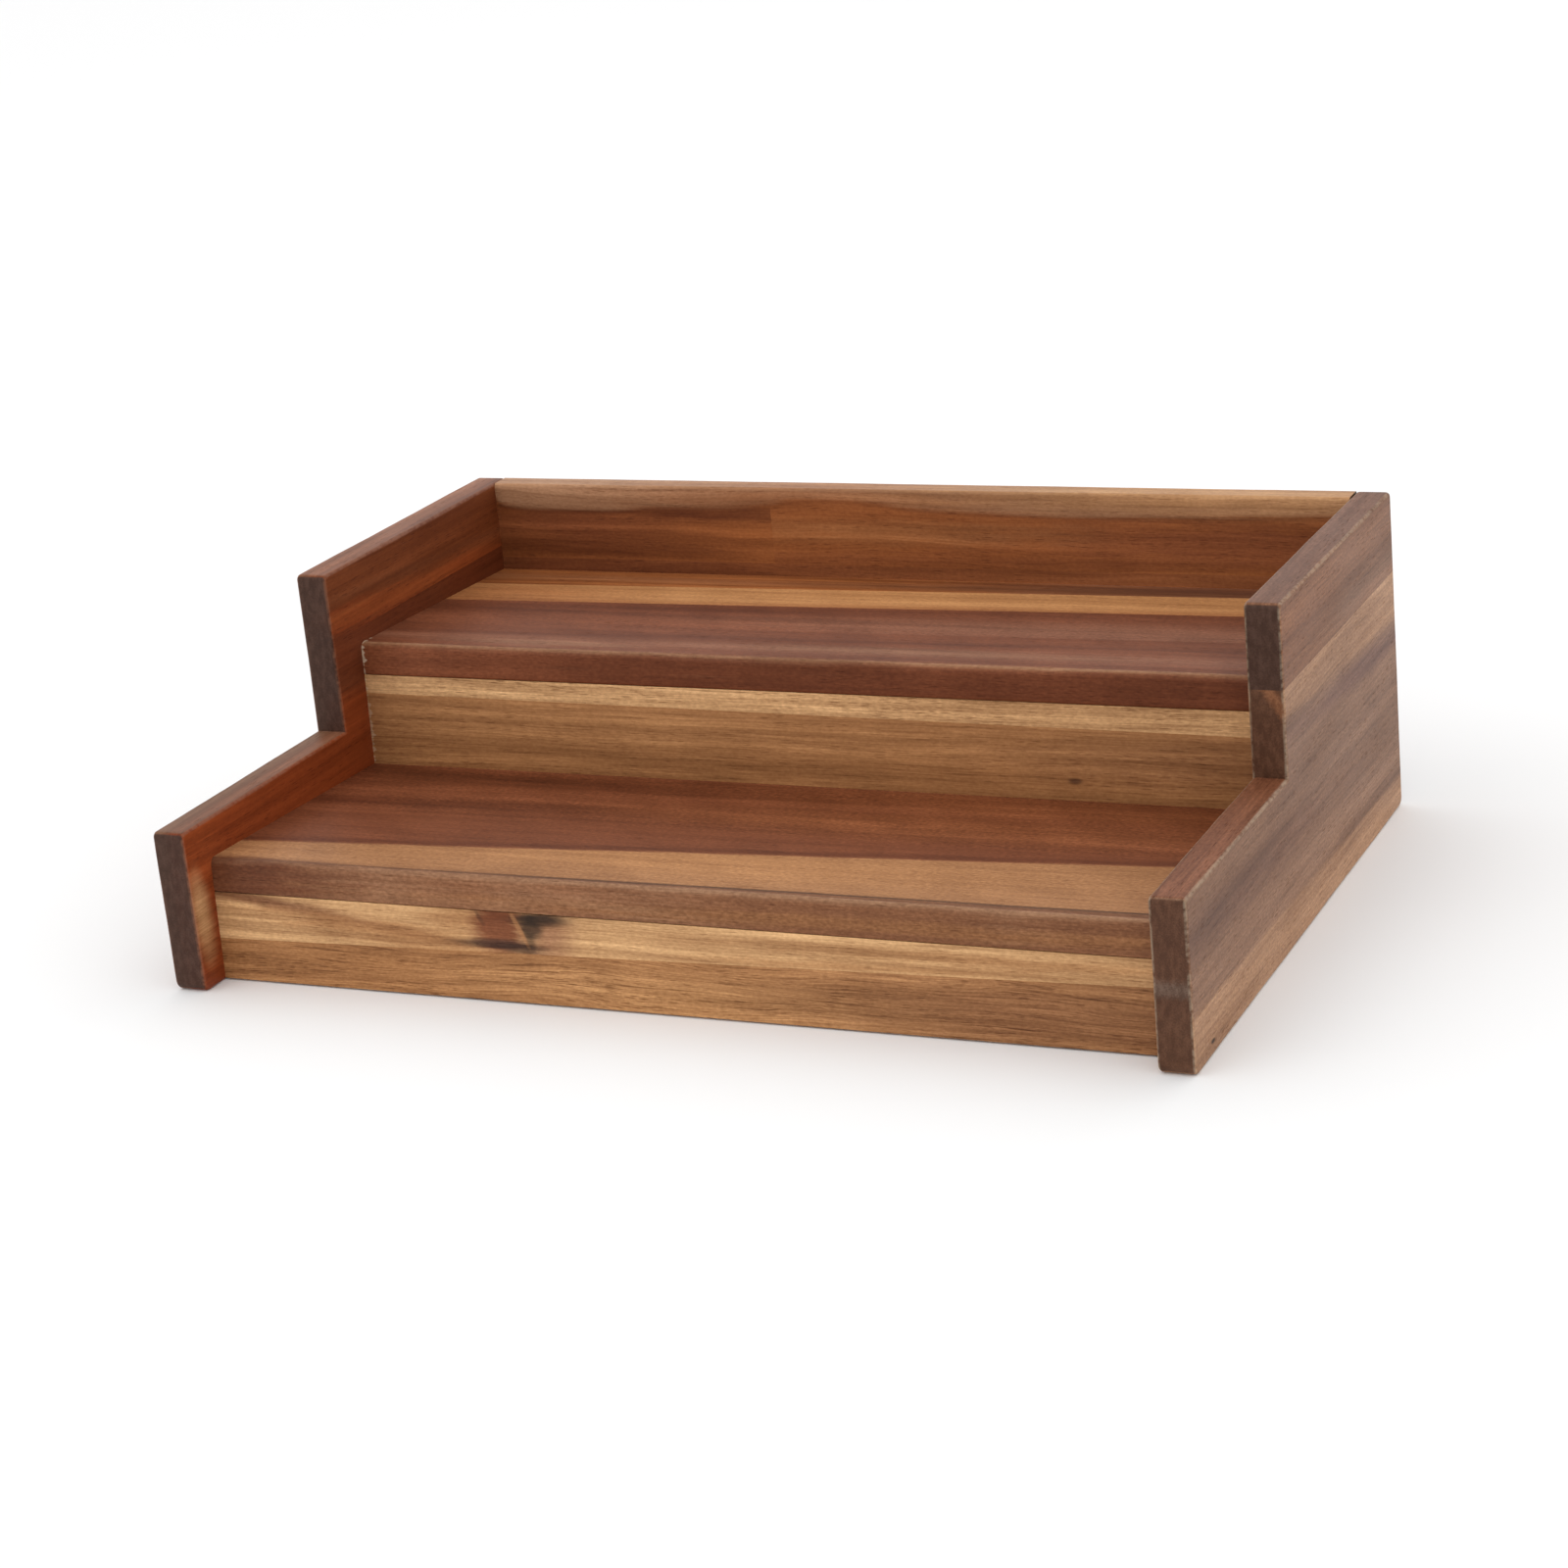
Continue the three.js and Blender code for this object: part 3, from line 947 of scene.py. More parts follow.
@dataclass(frozen=True)
class UpwardColourAndSheen:
    """Another colour on the faces that look up: partly the wood's own colour there, partly painted sheen,
    the reflection of the bright surround painted into the colour.

    Attributes:
        colour: the colour of those faces, painted sheen included.
        strength: how far it covers what lies under it.
    """

    colour: Timber
    strength: float = 0.8
    # Upward parts of the normal between which the colour comes on.
    UPWARD: ClassVar[tuple[float, float]] = (0.8, 0.98)

    def mask(self, wiring: Wiring, grain: Socket) -> Socket:
        """The mask of the faces that look up, where the painted sheen goes, from the surface's normal."""
        normal = wiring.node("ShaderNodeNewGeometry", {}).outputs["Normal"]
        return wiring.step(wiring.parts(normal)[2], *self.UPWARD)


@dataclass(frozen=True)
class Strip:
    """Strip of colour along a stave, in the board's own millimetres.

    Attributes:
        colour: the strip's colour.
        low: its lower edge where the board's along is 0.
        high: its upper edge there.
        slope: how far it climbs across for each millimetre along.
        depth_slope: how far it climbs across for each millimetre through.
        soft: width over which it fades.
        wander: how far it strays.
        strength: how far it covers what lies under it.
        bend: places along with the shift across that the strip takes there, for a strip that winds.
        near: depths through the board where it starts to show and where it shows in full.
    """

    colour: Timber
    low: float
    high: float
    slope: float = 0.0
    depth_slope: float = 0.0
    soft: float = 0.8
    wander: float = 3.0
    strength: float = 1.0
    bend: tuple[tuple[float, float], ...] = ()
    near: tuple[float, float] | None = None

    def middle(self, wiring: Wiring, grain: Socket) -> Value:
        """The strip's middle: a number, or a smooth curve through the bend's points.

        Args:
            wiring: the material's wiring.
            grain: the board's own millimetres.

        Returns:
            The middle, in millimetres across.
        """
        level = (self.low + self.high) / 2.0
        if not self.bend:
            return level
        places = np.array(self.bend)
        low, high = places.min(axis=0), places.max(axis=0)
        shares = (places - low) / (high - low)
        along = wiring.parts(grain)[0]
        way = wiring.node("ShaderNodeMapRange", {0: along, 1: low[0], 2: high[0]}).outputs[0]
        curve = wiring.node("ShaderNodeFloatCurve", {"Value": way})
        points = curve.mapping.curves[0].points
        for number, share in enumerate(shares):
            if number < len(points):
                points[number].location = share
            else:
                points.new(*share)
        curve.mapping.update()
        return wiring.math("MULTIPLY_ADD", curve.outputs[0], high[1] - low[1], level + low[1])

    def mask(self, wiring: Wiring, grain: Socket) -> Socket:
        """The strip's mask, from its group.

        Args:
            wiring: the material's wiring.
            grain: the board's own millimetres.

        Returns:
            The mask, from 0 to 1.
        """
        values = {
            "Grain": grain, "Middle": self.middle(wiring, grain),
            "Half Width": (self.high - self.low) / 2.0, "Softness": self.soft, "Wander": self.wander,
            "Slope": self.slope, "Depth Slope": self.depth_slope,
        }
        return fade_through(wiring, grain, ColourStrip.place(wiring, values)[0], self.near)


@dataclass(frozen=True)
class Patch:
    """Patch of colour on a stave, in the board's own millimetres.

    Attributes:
        colour: the patch's colour.
        along: its middle along the grain.
        across: its middle across the grain.
        length: half its length.
        width: half its width.
        soft: share of its size over which it fades.
        ragged: how uneven its rim is.
        strength: how far it covers what lies under it.
        turn: how far its length is turned from the grain, in degrees.
        near: depths through the board where it starts to show and where it shows in full.
    """

    colour: Timber
    along: float
    across: float
    length: float
    width: float
    soft: float = 0.5
    ragged: float = 0.5
    strength: float = 1.0
    turn: float = 0.0
    near: tuple[float, float] | None = None

    def mask(self, wiring: Wiring, grain: Socket) -> Socket:
        """The patch's mask, from its group.

        Args:
            wiring: the material's wiring.
            grain: the board's own millimetres.

        Returns:
            The mask, from 0 to 1.
        """
        values = {
            "Grain": grain, "Along": self.along, "Across": self.across,
            "Length": self.length, "Width": self.width, "Turn": math.radians(self.turn),
            "Softness": self.soft, "Ragged": self.ragged,
        }
        return fade_through(wiring, grain, ColourPatch.place(wiring, values)[0], self.near)


@dataclass(frozen=True)
class AcaciaFinish:
    """Acacia under a satin oil.

    Attributes:
        name: name of the material.
        base: main colour of the stave.
        layers: strips and patches of other colours, and colours of the upward faces with painted sheen,
            from the lowest to the topmost.
        rings: how dark the year rings are.
        spacing: width of a year ring in millimetres.
        pith: where the rings' middle lies across and through.
        broad: strength of the broad bands of tone.
        streak: strength of the streaks.
        fibre: strength of the fine fibres.
        lines: strength of the thin dark lines.
        speck: strength of the short specks.
        pores: share of the pore cells that are open.
        pore_depth: how dark an open pore is, in stops.
        figure: how strong the cross figure is.
        wander: how far the grain strays.
        end: colour of the cut ends.
        end_layers: strips of other colours on the cut ends.
        arris: colour of the pale edges, where sanding cut through the oil, with a painted highlight in it.
        wear_and_highlight: strength of those pale edges, the sanded wood and the painted highlight.
        roughness: middle roughness of the oil.
    """

    name: str
    base: Timber
    layers: tuple[Strip | Patch | UpwardColourAndSheen, ...] = ()
    rings: float = 0.2
    spacing: float = 6.0
    pith: tuple[float, float] = (20.0, -70.0)
    broad: float = 0.3
    streak: float = 0.3
    fibre: float = 0.25
    lines: float = 0.25
    speck: float = 0.16
    pores: float = 0.3
    pore_depth: float = 0.6
    figure: float = 0.15
    wander: float = 1.5
    end: Timber = Timber.WALNUT
    end_layers: tuple[Strip, ...] = ()
    arris: Timber = Timber.TAN
    wear_and_highlight: float = 0.3
    roughness: float = 0.46
    # Stops of tone of the figure, the rings and the end grain's freckles, the ends' lift and their cover.
    FIGURE_STOPS: ClassVar[float] = -0.8
    RING_STOPS: ClassVar[float] = -1.4
    FRECKLE_STOPS: ClassVar[float] = -0.9
    END_LIFT: ClassVar[float] = 0.4
    END_COVER: ClassVar[float] = 0.95
    # Strength and height in metres of the relief, and the index and specular level of the oil.
    BUMP_STRENGTH: ClassVar[float] = 0.25
    BUMP_HEIGHT: ClassVar[float] = 0.3 * MM
    OIL_INDEX: ClassVar[float] = 1.46
    OIL_SPECULAR: ClassVar[float] = 0.18

    def material(self, board: BoardFrame) -> bpy.types.Material:
        """Builds the material in a board's frame.

        Args:
            board: frame of the board that takes the finish.

        Returns:
            The new material.
        """
        made = bpy.data.materials.new(self.name)
        made.use_nodes = True
        wiring = Wiring(made.node_tree)
        made.node_tree.nodes.clear()
        coordinates = wiring.node("ShaderNodeTexCoord", {})
        still = wiring.node("ShaderNodeMapping", {
            "Vector": coordinates.outputs["Object"], "Location": board.origin,
            "Scale": (MM, MM, MM), "Rotation": board.turn(),
        }, vector_type="TEXTURE").outputs[0]
        drift = GrainWander.place(wiring, {"Grain": still, "Amount": self.wander})[0]
        grain = wiring.vector("ADD", still, wiring.join(0.0, drift, 0.0))
        colour, fibre, pores = self.paint(wiring, still, grain)
        geometry = wiring.node("ShaderNodeNewGeometry", {})
        facing = {0: geometry.outputs["Normal"], 1: board.along}
        dot = wiring.node("ShaderNodeVectorMath", facing, operation="DOT_PRODUCT").outputs["Value"]
        ends, freckle = EndGrain.place(wiring, {"Grain": still, "Facing": wiring.math("ABSOLUTE", dot)})
        end_colour = self.lay(wiring, still, self.end.linear(), self.end_layers)
        mottle = wiring.math("MULTIPLY_ADD", freckle, self.FRECKLE_STOPS, self.END_LIFT)
        dark_end = WoodTone.place(wiring, {"Plain": end_colour, "Tone": mottle})[0]
        colour = wiring.mix(wiring.math("MULTIPLY", ends, self.END_COVER), colour, dark_end)
        # Paler rounded edges: wood where sanding cut through the oil, and a painted highlight along the
        # edges.
        attribute = wiring.node("ShaderNodeAttribute", {}, attribute_name=ARRIS)
        wear_and_glint = WornArrisAndHighlight.place(wiring, {"Grain": still, "Arris": attribute.outputs["Fac"]})[0]
        colour = wiring.mix(wiring.math("MULTIPLY", wear_and_glint, self.wear_and_highlight), colour, self.arris.linear())
        oil = {"Grain": still, "Fibre": fibre, "Pores": pores, "Roughness": self.roughness}
        roughness, relief = SatinOil.place(wiring, oil)
        bump = wiring.node("ShaderNodeBump", {
            "Height": relief, "Strength": self.BUMP_STRENGTH, "Distance": self.BUMP_HEIGHT,
        })
        shader = wiring.node("ShaderNodeBsdfPrincipled", {
            "Base Color": colour, "Roughness": roughness, "Normal": bump.outputs[0],
            "IOR": self.OIL_INDEX, "Specular IOR Level": self.OIL_SPECULAR,
        })
        wiring.node("ShaderNodeOutputMaterial", {"Surface": shader.outputs[0]})
        return made

    def lay(
        self, wiring: Wiring, still: Socket, base: Value, layers: Sequence[Strip | Patch | UpwardColourAndSheen],
    ) -> Value:
        """Lays strips and patches of colour over a base, in order.

        Args:
            wiring: the material's wiring.
            still: the board's own millimetres.
            base: the colour under them.
            layers: the strips and patches, from the lowest.

        Returns:
            The colour that results.
        """
        colour = base
        for layer in layers:
            mask = wiring.math("MULTIPLY", layer.mask(wiring, still), layer.strength)
            colour = wiring.mix(mask, colour, layer.colour.linear())
        return colour

    def paint(self, wiring: Wiring, still: Socket, grain: Socket) -> tuple[Socket, Socket, Socket]:
        """Lays the colours of the stave and the marks of its grain.

        Args:
            wiring: the material's wiring.
            still: the board's own millimetres.
            grain: the same with the grain's drift.

        Returns:
            The colour, the fibre mask and the pore mask.
        """
        tone, fibre = GrainTone.place(wiring, {
            "Grain": grain, "Broad": self.broad, "Streak": self.streak, "Fibre": self.fibre,
            "Lines": self.lines, "Speck": self.speck,
        })
        rings = GrowthRings.place(wiring, {
            "Grain": grain, "Spacing": self.spacing,
            "Pith Across": self.pith[0], "Pith Depth": self.pith[1],
        })[0]
        pores = OpenPores.place(wiring, {"Grain": grain, "Share": self.pores})[0]
        figure = RippledFigure.place(wiring, {"Grain": still})[0]
        marks = (
            (figure, self.FIGURE_STOPS * self.figure),
            (rings, self.RING_STOPS * self.rings),
            (pores, -self.pore_depth),
        )
        for mask, stops in marks:
            tone = wiring.math("MULTIPLY_ADD", mask, stops, tone)
        plain = self.lay(wiring, still, self.base.linear(), self.layers)
        return WoodTone.place(wiring, {"Plain": plain, "Tone": tone})[0], fibre, pores


@dataclass
class Stave:
    """One stave of a board, ready to be dressed.

    Attributes:
        node: CAD node that the stave stands for.
        slot: material slot of the record; not used.
        finish: the stave's wood.
        shell: its shape.
    """

    node: str
    slot: Slot
    finish: AcaciaFinish
    shell: Shell

    def dress(self, board: BoardFrame) -> bpy.types.Object:
        """Makes the stave's piece, gives it its wood and ties it to the frame.

        Args:
            board: frame of the stave's board.

        Returns:
            The finished piece.
        """
        piece = self.shell.to_object(self.node.replace("_stave", "_board"), board)
        piece.data.materials.append(self.finish.material(board))
        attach(piece, "root")
        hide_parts(self.node)
        log.info("%s: %d faces", piece.name, len(piece.data.polygons))
        return piece


@dataclass
class SidePanel:
    """Stepped side panel of three staves, with its grain from front to back.

    Attributes:
        side: which of the two panels it is.
        ease: radius of its eased edges.
        foot: radius of its lower corners.
        corner: radius of its upper corners.
    """

    side: Side
    ease: float = 1.3
    foot: float = 3.5
    corner: float = 2.0
    # Material slot of each panel, and the phase of its ripple.
    SLOTS: ClassVar[dict[Side, Slot]] = {Side.LEFT: Slot.RED, Side.RIGHT: Slot.GREY}
    SEEDS: ClassVar[dict[Side, float]] = {Side.LEFT: 1.7, Side.RIGHT: 4.1}

    def name(self, stave: str) -> str:
        """CAD node of one of the panel's staves."""
        return f"{self.side.name.lower()}_side_{stave}_stave"

    def board(self) -> BoardFrame:
        """Frame of the panel: its along starts at the front and its across at the floor."""
        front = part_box(self.name("bottom"))[0].y
        return BoardFrame((0.0, front, 0.0), (0.0, 1.0, 0.0), (0.0, 0.0, 1.0))

    def step_height(self) -> float:
        """Height of the low stretch, from the middle stave's points ahead of the step.

        Returns:
            Millimetres above the floor.
        """
        points = node_points(self.name("middle"))
        ahead = points[:, 1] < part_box(self.name("top"))[0].y - self.ease * MM
        return float(points[ahead, 2].max() - self.board().origin[2]) / MM

    def staves(self) -> list[Stave]:
        """Works out the panel's three staves from the CAD nodes' extents and the step.

        Returns:
            The staves, from the bottom.
        """
        board = self.board()
        low, high = board.extent(self.name("bottom"))
        top_low, top_high = board.extent(self.name("top"))
        lower_line, upper_line = high[1] + GLUE_FILM / 2.0, top_low[1] - GLUE_FILM / 2.0
        front, rear, step, top = low[0], high[0], top_low[0], top_high[1]
        step_height = self.step_height()
        outlines = {
            "bottom": [
                OutlineCorner(front, low[1], self.foot), OutlineCorner(rear, low[1], self.foot),
                OutlineCorner(rear, lower_line, glued=True), OutlineCorner(front, lower_line),
            ],
            "middle": [
                OutlineCorner(front, lower_line, glued=True), OutlineCorner(rear, lower_line),
                OutlineCorner(rear, upper_line, glued=True), OutlineCorner(step, upper_line),
                OutlineCorner(step, step_height), OutlineCorner(front, step_height, self.corner),
            ],
            "top": [
                OutlineCorner(step, upper_line, glued=True), OutlineCorner(rear, upper_line),
                OutlineCorner(rear, top, self.corner), OutlineCorner(step, top, self.corner),
            ],
        }
        slot, seed = self.SLOTS[self.side], self.SEEDS[self.side]
        finishes = left_panel_finishes() if self.side is Side.LEFT else right_panel_finishes()
        faces = (low[2], high[2])
        return [
            Stave(self.name(stave), slot, finishes[stave], eased_panel(outline, faces, self.ease, seed))
            for stave, outline in outlines.items()
        ]

    def build(self) -> list[bpy.types.Object]:
        """Builds and dresses the panel."""
        board = self.board()
        return [stave.dress(board) for stave in self.staves()]


def left_panel_finishes() -> dict[str, AcaciaFinish]:
    """Woods of the left panel's staves, which show their inner face in orange and dark red.

    Returns:
        The finishes by stave.
    """
    # The rose arris colour is partly sanded wood and partly a painted highlight along the panel's edges.
    common = {"arris": Timber.ROSE, "streak": 0.35, "wear_and_highlight": 0.5}
    inner, outer = (-170.0, -168.5), (-172.0, -178.0)
    outside = Strip(Timber.BROWN, -50.0, 200.0, wander=0.0, near=outer, strength=0.9)
    band = Strip(Timber.GREY, 40.0, 66.0, 0.03, soft=4.0, wander=6.0, near=outer, strength=0.7)
    # The pale cream streak on the inner face near the front is a painted reflection: light caught where
    # that face is seen edge-on, painted into the colour.
    wear_and_glint = Patch(Timber.CREAM, 4.8, 25.5, 4.2, 12.0, 0.9, 0.3, 0.85, 4.0, inner)
    return {
        "bottom": AcaciaFinish("left_bottom_acacia", Timber.ORANGE, (
            wear_and_glint, outside,
        ), pith=(-10.0, -120.0), **common),
        "middle": AcaciaFinish("left_middle_acacia", Timber.ORANGE, (
            Strip(Timber.DARK_RED, 77.0, 130.0, -0.066, soft=4.0, strength=0.8), wear_and_glint, outside, band,
            # Grey on the upward faces of the step: painted sheen, partly the wood's own colour.
            UpwardColourAndSheen(Timber.GREY, 0.7),
        ), pith=(40.0, -110.0), **common),
        "top": AcaciaFinish("left_top_acacia", Timber.ORANGE, (
            Strip(Timber.AMBER, 102.0, 109.0, -0.07, soft=3.0, wander=4.0, strength=0.25),
            Strip(Timber.CHESTNUT, 109.5, 150.0, -0.074, soft=2.5, wander=5.0, strength=0.85),
            Strip(Timber.UMBER, 112.0, 114.5, -0.07, soft=2.0, wander=4.0, strength=0.25),
            # The dark red low on the inner face, along the upper shelf, is partly the wood's own colour and
            # partly painted shade where the shelf meets the panel.
            Strip(Timber.DARK_RED, 60.0, 100.4, -0.066, soft=3.0, strength=0.9), outside,
            # Rose on the upward faces at the top: painted sheen, partly the wood's own colour.
            UpwardColourAndSheen(Timber.ROSE, 0.8),
        ), pith=(120.0, -100.0), **common),
    }


def right_panel_finishes() -> dict[str, AcaciaFinish]:
    """Woods of the right panel's staves, which show their outer face in grey brown and tan.

    Returns:
        The finishes by stave.
    """
    # The pale arris colour on this panel is partly sanded wood and partly a painted highlight along its
    # edges.
    common = {
        "arris": Timber.GLUE_AND_GLINT, "streak": 0.26, "fibre": 0.4, "lines": 0.45, "speck": 0.36, "wear_and_highlight": 0.24,
    }
    return {
        "bottom": AcaciaFinish("right_bottom_acacia", Timber.GREY, (
            Strip(Timber.GREY_TAN, -20.0, 19.0, -0.033, soft=1.5),
            Patch(Timber.SOOT, 17.9, 4.6, 1.8, 0.6, 0.4, 0.4, 0.9),
        ), pith=(0.0, 90.0), end=Timber.UMBER, **common),
        "middle": AcaciaFinish("right_middle_acacia", Timber.GREY, (
            Strip(Timber.GREY_TAN, 81.6, 120.0, -0.047, soft=2.0),
            Strip(Timber.PLUM, 74.0, 80.0, -0.06, soft=3.0, wander=6.0, strength=0.5),
            Patch(Timber.PLUM, 205.0, 65.0, 45.0, 4.0, 0.7, 0.8, 0.9, -3.0),
            Patch(Timber.PLUM, 60.0, 40.0, 90.0, 6.0, 0.8, 0.8, 0.5, -2.0),
            # Red on the upward faces of the step: painted sheen, partly the wood's own colour.
            UpwardColourAndSheen(Timber.RED, 0.7),
        ), pith=(50.0, 90.0), end=Timber.UMBER, end_layers=(
            Strip(Timber.ASH, 25.4, 30.0, soft=1.8, wander=2.0, strength=0.5),
            Strip(Timber.BROWN, 345.0, 352.0, depth_slope=-1.5, soft=2.5, wander=2.0, strength=0.9),
        ), **common),
        "top": AcaciaFinish("right_top_acacia", Timber.GREY, (
            Strip(Timber.BROWN, 96.0, 130.0, soft=8.0, wander=8.0, strength=0.7),
            Strip(Timber.BROWN, 86.0, 90.0, 0.0, soft=3.0, strength=0.5),
            Patch(Timber.BROWN, 118.0, 98.0, 40.0, 13.0, 0.9, 0.5, 0.9),
            # Plum on the upward faces at the top: painted sheen, partly the wood's own colour.
            UpwardColourAndSheen(Timber.PLUM, 0.62),
        ), pith=(100.0, 100.0), **common),
    }


# Material slot and wood of each stave of a board.
SlottedWoods = dict[str, tuple[Slot, AcaciaFinish]]


@dataclass
class Stair:
    """Shelves and risers between the side panels, which all fall a little towards the back.

    Attributes:
        nosing: radius of each shelf's upper front edge.
        lower_edge: radius of each shelf's lower front edge.
        shelf_lean: how much further back the upper shelf's glue lines lie at their right ends.
        lower_riser_lean: how much higher the lower riser's glue line lies at its right end.
        upper_riser_lean: the same for the upper riser.
        lower_seed: phase of the ripple along the lower shelf's nosing.
        upper_seed: the same for the upper shelf.
    """

    nosing: float = 2.5
    lower_edge: float = 0.8
    shelf_lean: float = 11.0
    lower_riser_lean: float = 7.5
    upper_riser_lean: float = -2.0
    lower_seed: float = 0.6
    upper_seed: float = 2.9

    def shelf_board(self) -> BoardFrame:
        """Frame of the shelves, from the mount on the lower one.

        Returns:
            The frame. It starts at the front of the lower shelf's top, and its through points up.
        """
        mounts = {mount["name"]: mount for mount in frame["record"]["mounts"]}
        floor = mounts["lower_tray_floor"]
        up = unit(np.array(floor["axis"], float))
        across = (0.0, float(up[2]), -float(up[1]))
        rough = BoardFrame(tuple(floor["pos_m"]), (1.0, 0.0, 0.0), across)
        reach = rough.extent("lower_shelf_front_stave")[0][1]
        return BoardFrame(tuple(rough.place(np.array([0.0, reach, 0.0])).tolist()), (1.0, 0.0, 0.0), across)

    def riser_board(self) -> BoardFrame:
        """Frame of the risers: it starts where the shelves' does, and its across points up."""
        shelf = self.shelf_board()
        return BoardFrame(shelf.origin, shelf.along, tuple(shelf.axes()[2].tolist()))

    def span(self) -> tuple[float, float]:
        """Left and right ends of the boards, against the inner faces of the side panels."""
        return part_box("left_side_bottom_stave")[1].x / MM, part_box("right_side_bottom_stave")[0].x / MM

    def shelf(
        self, tier: str, lean: float, finishes: SlottedWoods, seed: float,
    ) -> list[bpy.types.Object]:
        """Builds a shelf whose front stave has a rounded nosing.

        Args:
            tier: start of the CAD nodes' names.
            lean: how far the glue lines lean.
            finishes: slot and wood of each stave, from the front.
            seed: phase of the nosing's ripple.

        Returns:
            The shelf's pieces.
        """
        board = self.shelf_board()
        made = []
        for number, (stave, (slot, finish)) in enumerate(finishes.items()):
            node = f"{tier}_{stave}_stave"
            low, high = board.extent(node)
            first, last = number == 0, number == len(finishes) - 1
            front = low[1] if first else low[1] - GLUE_FILM / 2.0 + lean / 2.0
            rear = high[1] + GLUE_FILM if last else high[1] + GLUE_FILM / 2.0 - lean / 2.0
            front_lean, rear_lean = (0.0 if first else lean), (0.0 if last else lean)
            corners = [
                SectionCorner(front, low[2], self.lower_edge if first else 0.0, front_lean),
                SectionCorner(rear, low[2], 0.0, rear_lean),
                SectionCorner(rear, high[2], 0.0, rear_lean),
                SectionCorner(front, high[2], self.nosing if first else 0.0, front_lean),
            ]
            made.append(Stave(node, slot, finish, carried_board(corners, self.span(), seed)).dress(board))
        return made

    def riser(self, tier: str, lean: float, finishes: SlottedWoods) -> list[bpy.types.Object]:
        """Builds a riser of two staves with a leaning glue line.

        Args:
            tier: start of the CAD nodes' names.
            lean: how much higher the glue line lies at its right end.
            finishes: slot and wood of each stave.

        Returns:
            The riser's pieces.
        """
        board = self.riser_board()
        low, high = board.extent(f"{tier}_bottom_stave")
        top_high = board.extent(f"{tier}_top_stave")[1]
        line = high[1] + GLUE_FILM / 2.0 - abs(lean) / 2.0
        bottom = low[1] - (GLUE_FILM if tier == "upper_riser" else 0.0)
        heights = {"bottom": (bottom, 0.0, line, lean), "top": (line, lean, top_high[1] + GLUE_FILM, 0.0)}
        made = []
        for stave, (foot, foot_lean, head, head_lean) in heights.items():
            corners = [
                SectionCorner(foot, low[2], 0.0, foot_lean), SectionCorner(head, low[2], 0.0, head_lean),
                SectionCorner(head, high[2], 0.0, head_lean), SectionCorner(foot, high[2], 0.0, foot_lean),
            ]
            slot, finish = finishes[stave]
            shell = carried_board(corners, self.span(), 0.0)
            made.append(Stave(f"{tier}_{stave}_stave", slot, finish, shell).dress(board))
        return made

    def build(self) -> list[bpy.types.Object]:
        """Builds and dresses both shelves and both risers.

        Returns:
            The pieces of all four.
        """
        lower = self.shelf("lower_shelf", 0.0, lower_shelf_finishes(), self.lower_seed)
        upper = self.shelf("upper_shelf", self.shelf_lean, upper_shelf_finishes(), self.upper_seed)
        front = self.riser("lower_riser", self.lower_riser_lean, lower_riser_finishes())
        rear = self.riser("upper_riser", self.upper_riser_lean, upper_riser_finishes())
        return lower + upper + front + rear


def lower_shelf_finishes() -> SlottedWoods:
    """Woods of the lower shelf: tan between a dark nosing and dark red heartwood.

    Returns:
        The slots and finishes by stave, from the front.
    """
    red = {
        "figure": 0.3, "broad": 0.35, "streak": 0.26, "fibre": 0.2, "lines": 0.15, "speck": 0.6,
        "rings": 0.2, "spacing": 11.0, "wander": 3.5,
    }
    tan = {
        "figure": 0.25, "broad": 0.2, "streak": 0.18, "fibre": 0.2, "lines": 0.24, "speck": 0.38,
        "rings": 0.1, "pores": 0.2, "wear_and_highlight": 0.1, "arris": Timber.GREY_TAN,
    }
    return {
        "front": (Slot.TAN, AcaciaFinish("lower_front_acacia", Timber.TAN, (
            Patch(Timber.OCHRE, 10.0, 26.0, 90.0, 12.0, 0.8, 0.5, 0.5),
            Strip(Timber.RED, 35.5, 120.0, 0.093, soft=1.0, wander=2.5),
            Strip(Timber.DARK_RED, 36.5, 40.5, 0.093, soft=1.8, wander=2.5, strength=0.6),
            Strip(Timber.BROWN, -40.0, 3.4, 0.014, 0.0, 0.8, 2.0, 0.95),
            Strip(Timber.OLIVE, -100.0, -60.0, 0.06, -10.0, 14.0, 60.0, 0.4),
            Strip(Timber.UMBER, 3.1, 4.6, 0.016, 0.0, 0.6, 2.5, 0.9),
            # The thin grey tan strip along the top of the nosing is a painted highlight.
            Strip(Timber.GREY_TAN, 0.4, 2.2, 0.003, 0.0, 0.6, 2.5, 0.8),
            Patch(Timber.BROWN, -110.0, 0.5, 70.0, 4.0, 0.9, 0.8, 0.5),
            Patch(Timber.DARK_RED, -160.0, 0.0, 34.0, 3.0, 0.9, 0.8, 0.8),
        ), **tan)),
        "middle": (Slot.RED, AcaciaFinish("lower_middle_acacia", Timber.RED, (
            Patch(Timber.DARK_RED, -120.0, 70.0, 90.0, 4.0, 0.8, 0.8, 0.7, 2.0),
            Patch(Timber.RUSSET, 60.0, 74.0, 90.0, 12.0, 0.8, 0.5, 0.5),
        ), **red)),
        "rear": (Slot.RED, AcaciaFinish("lower_rear_acacia", Timber.RED, (
            Patch(Timber.DARK_RED, -110.0, 100.0, 80.0, 5.0, 0.8, 0.8, 0.6, -3.0),
            Patch(Timber.RUSSET, 90.0, 100.0, 90.0, 12.0, 0.8, 0.5, 0.4),
        ), **red)),
    }


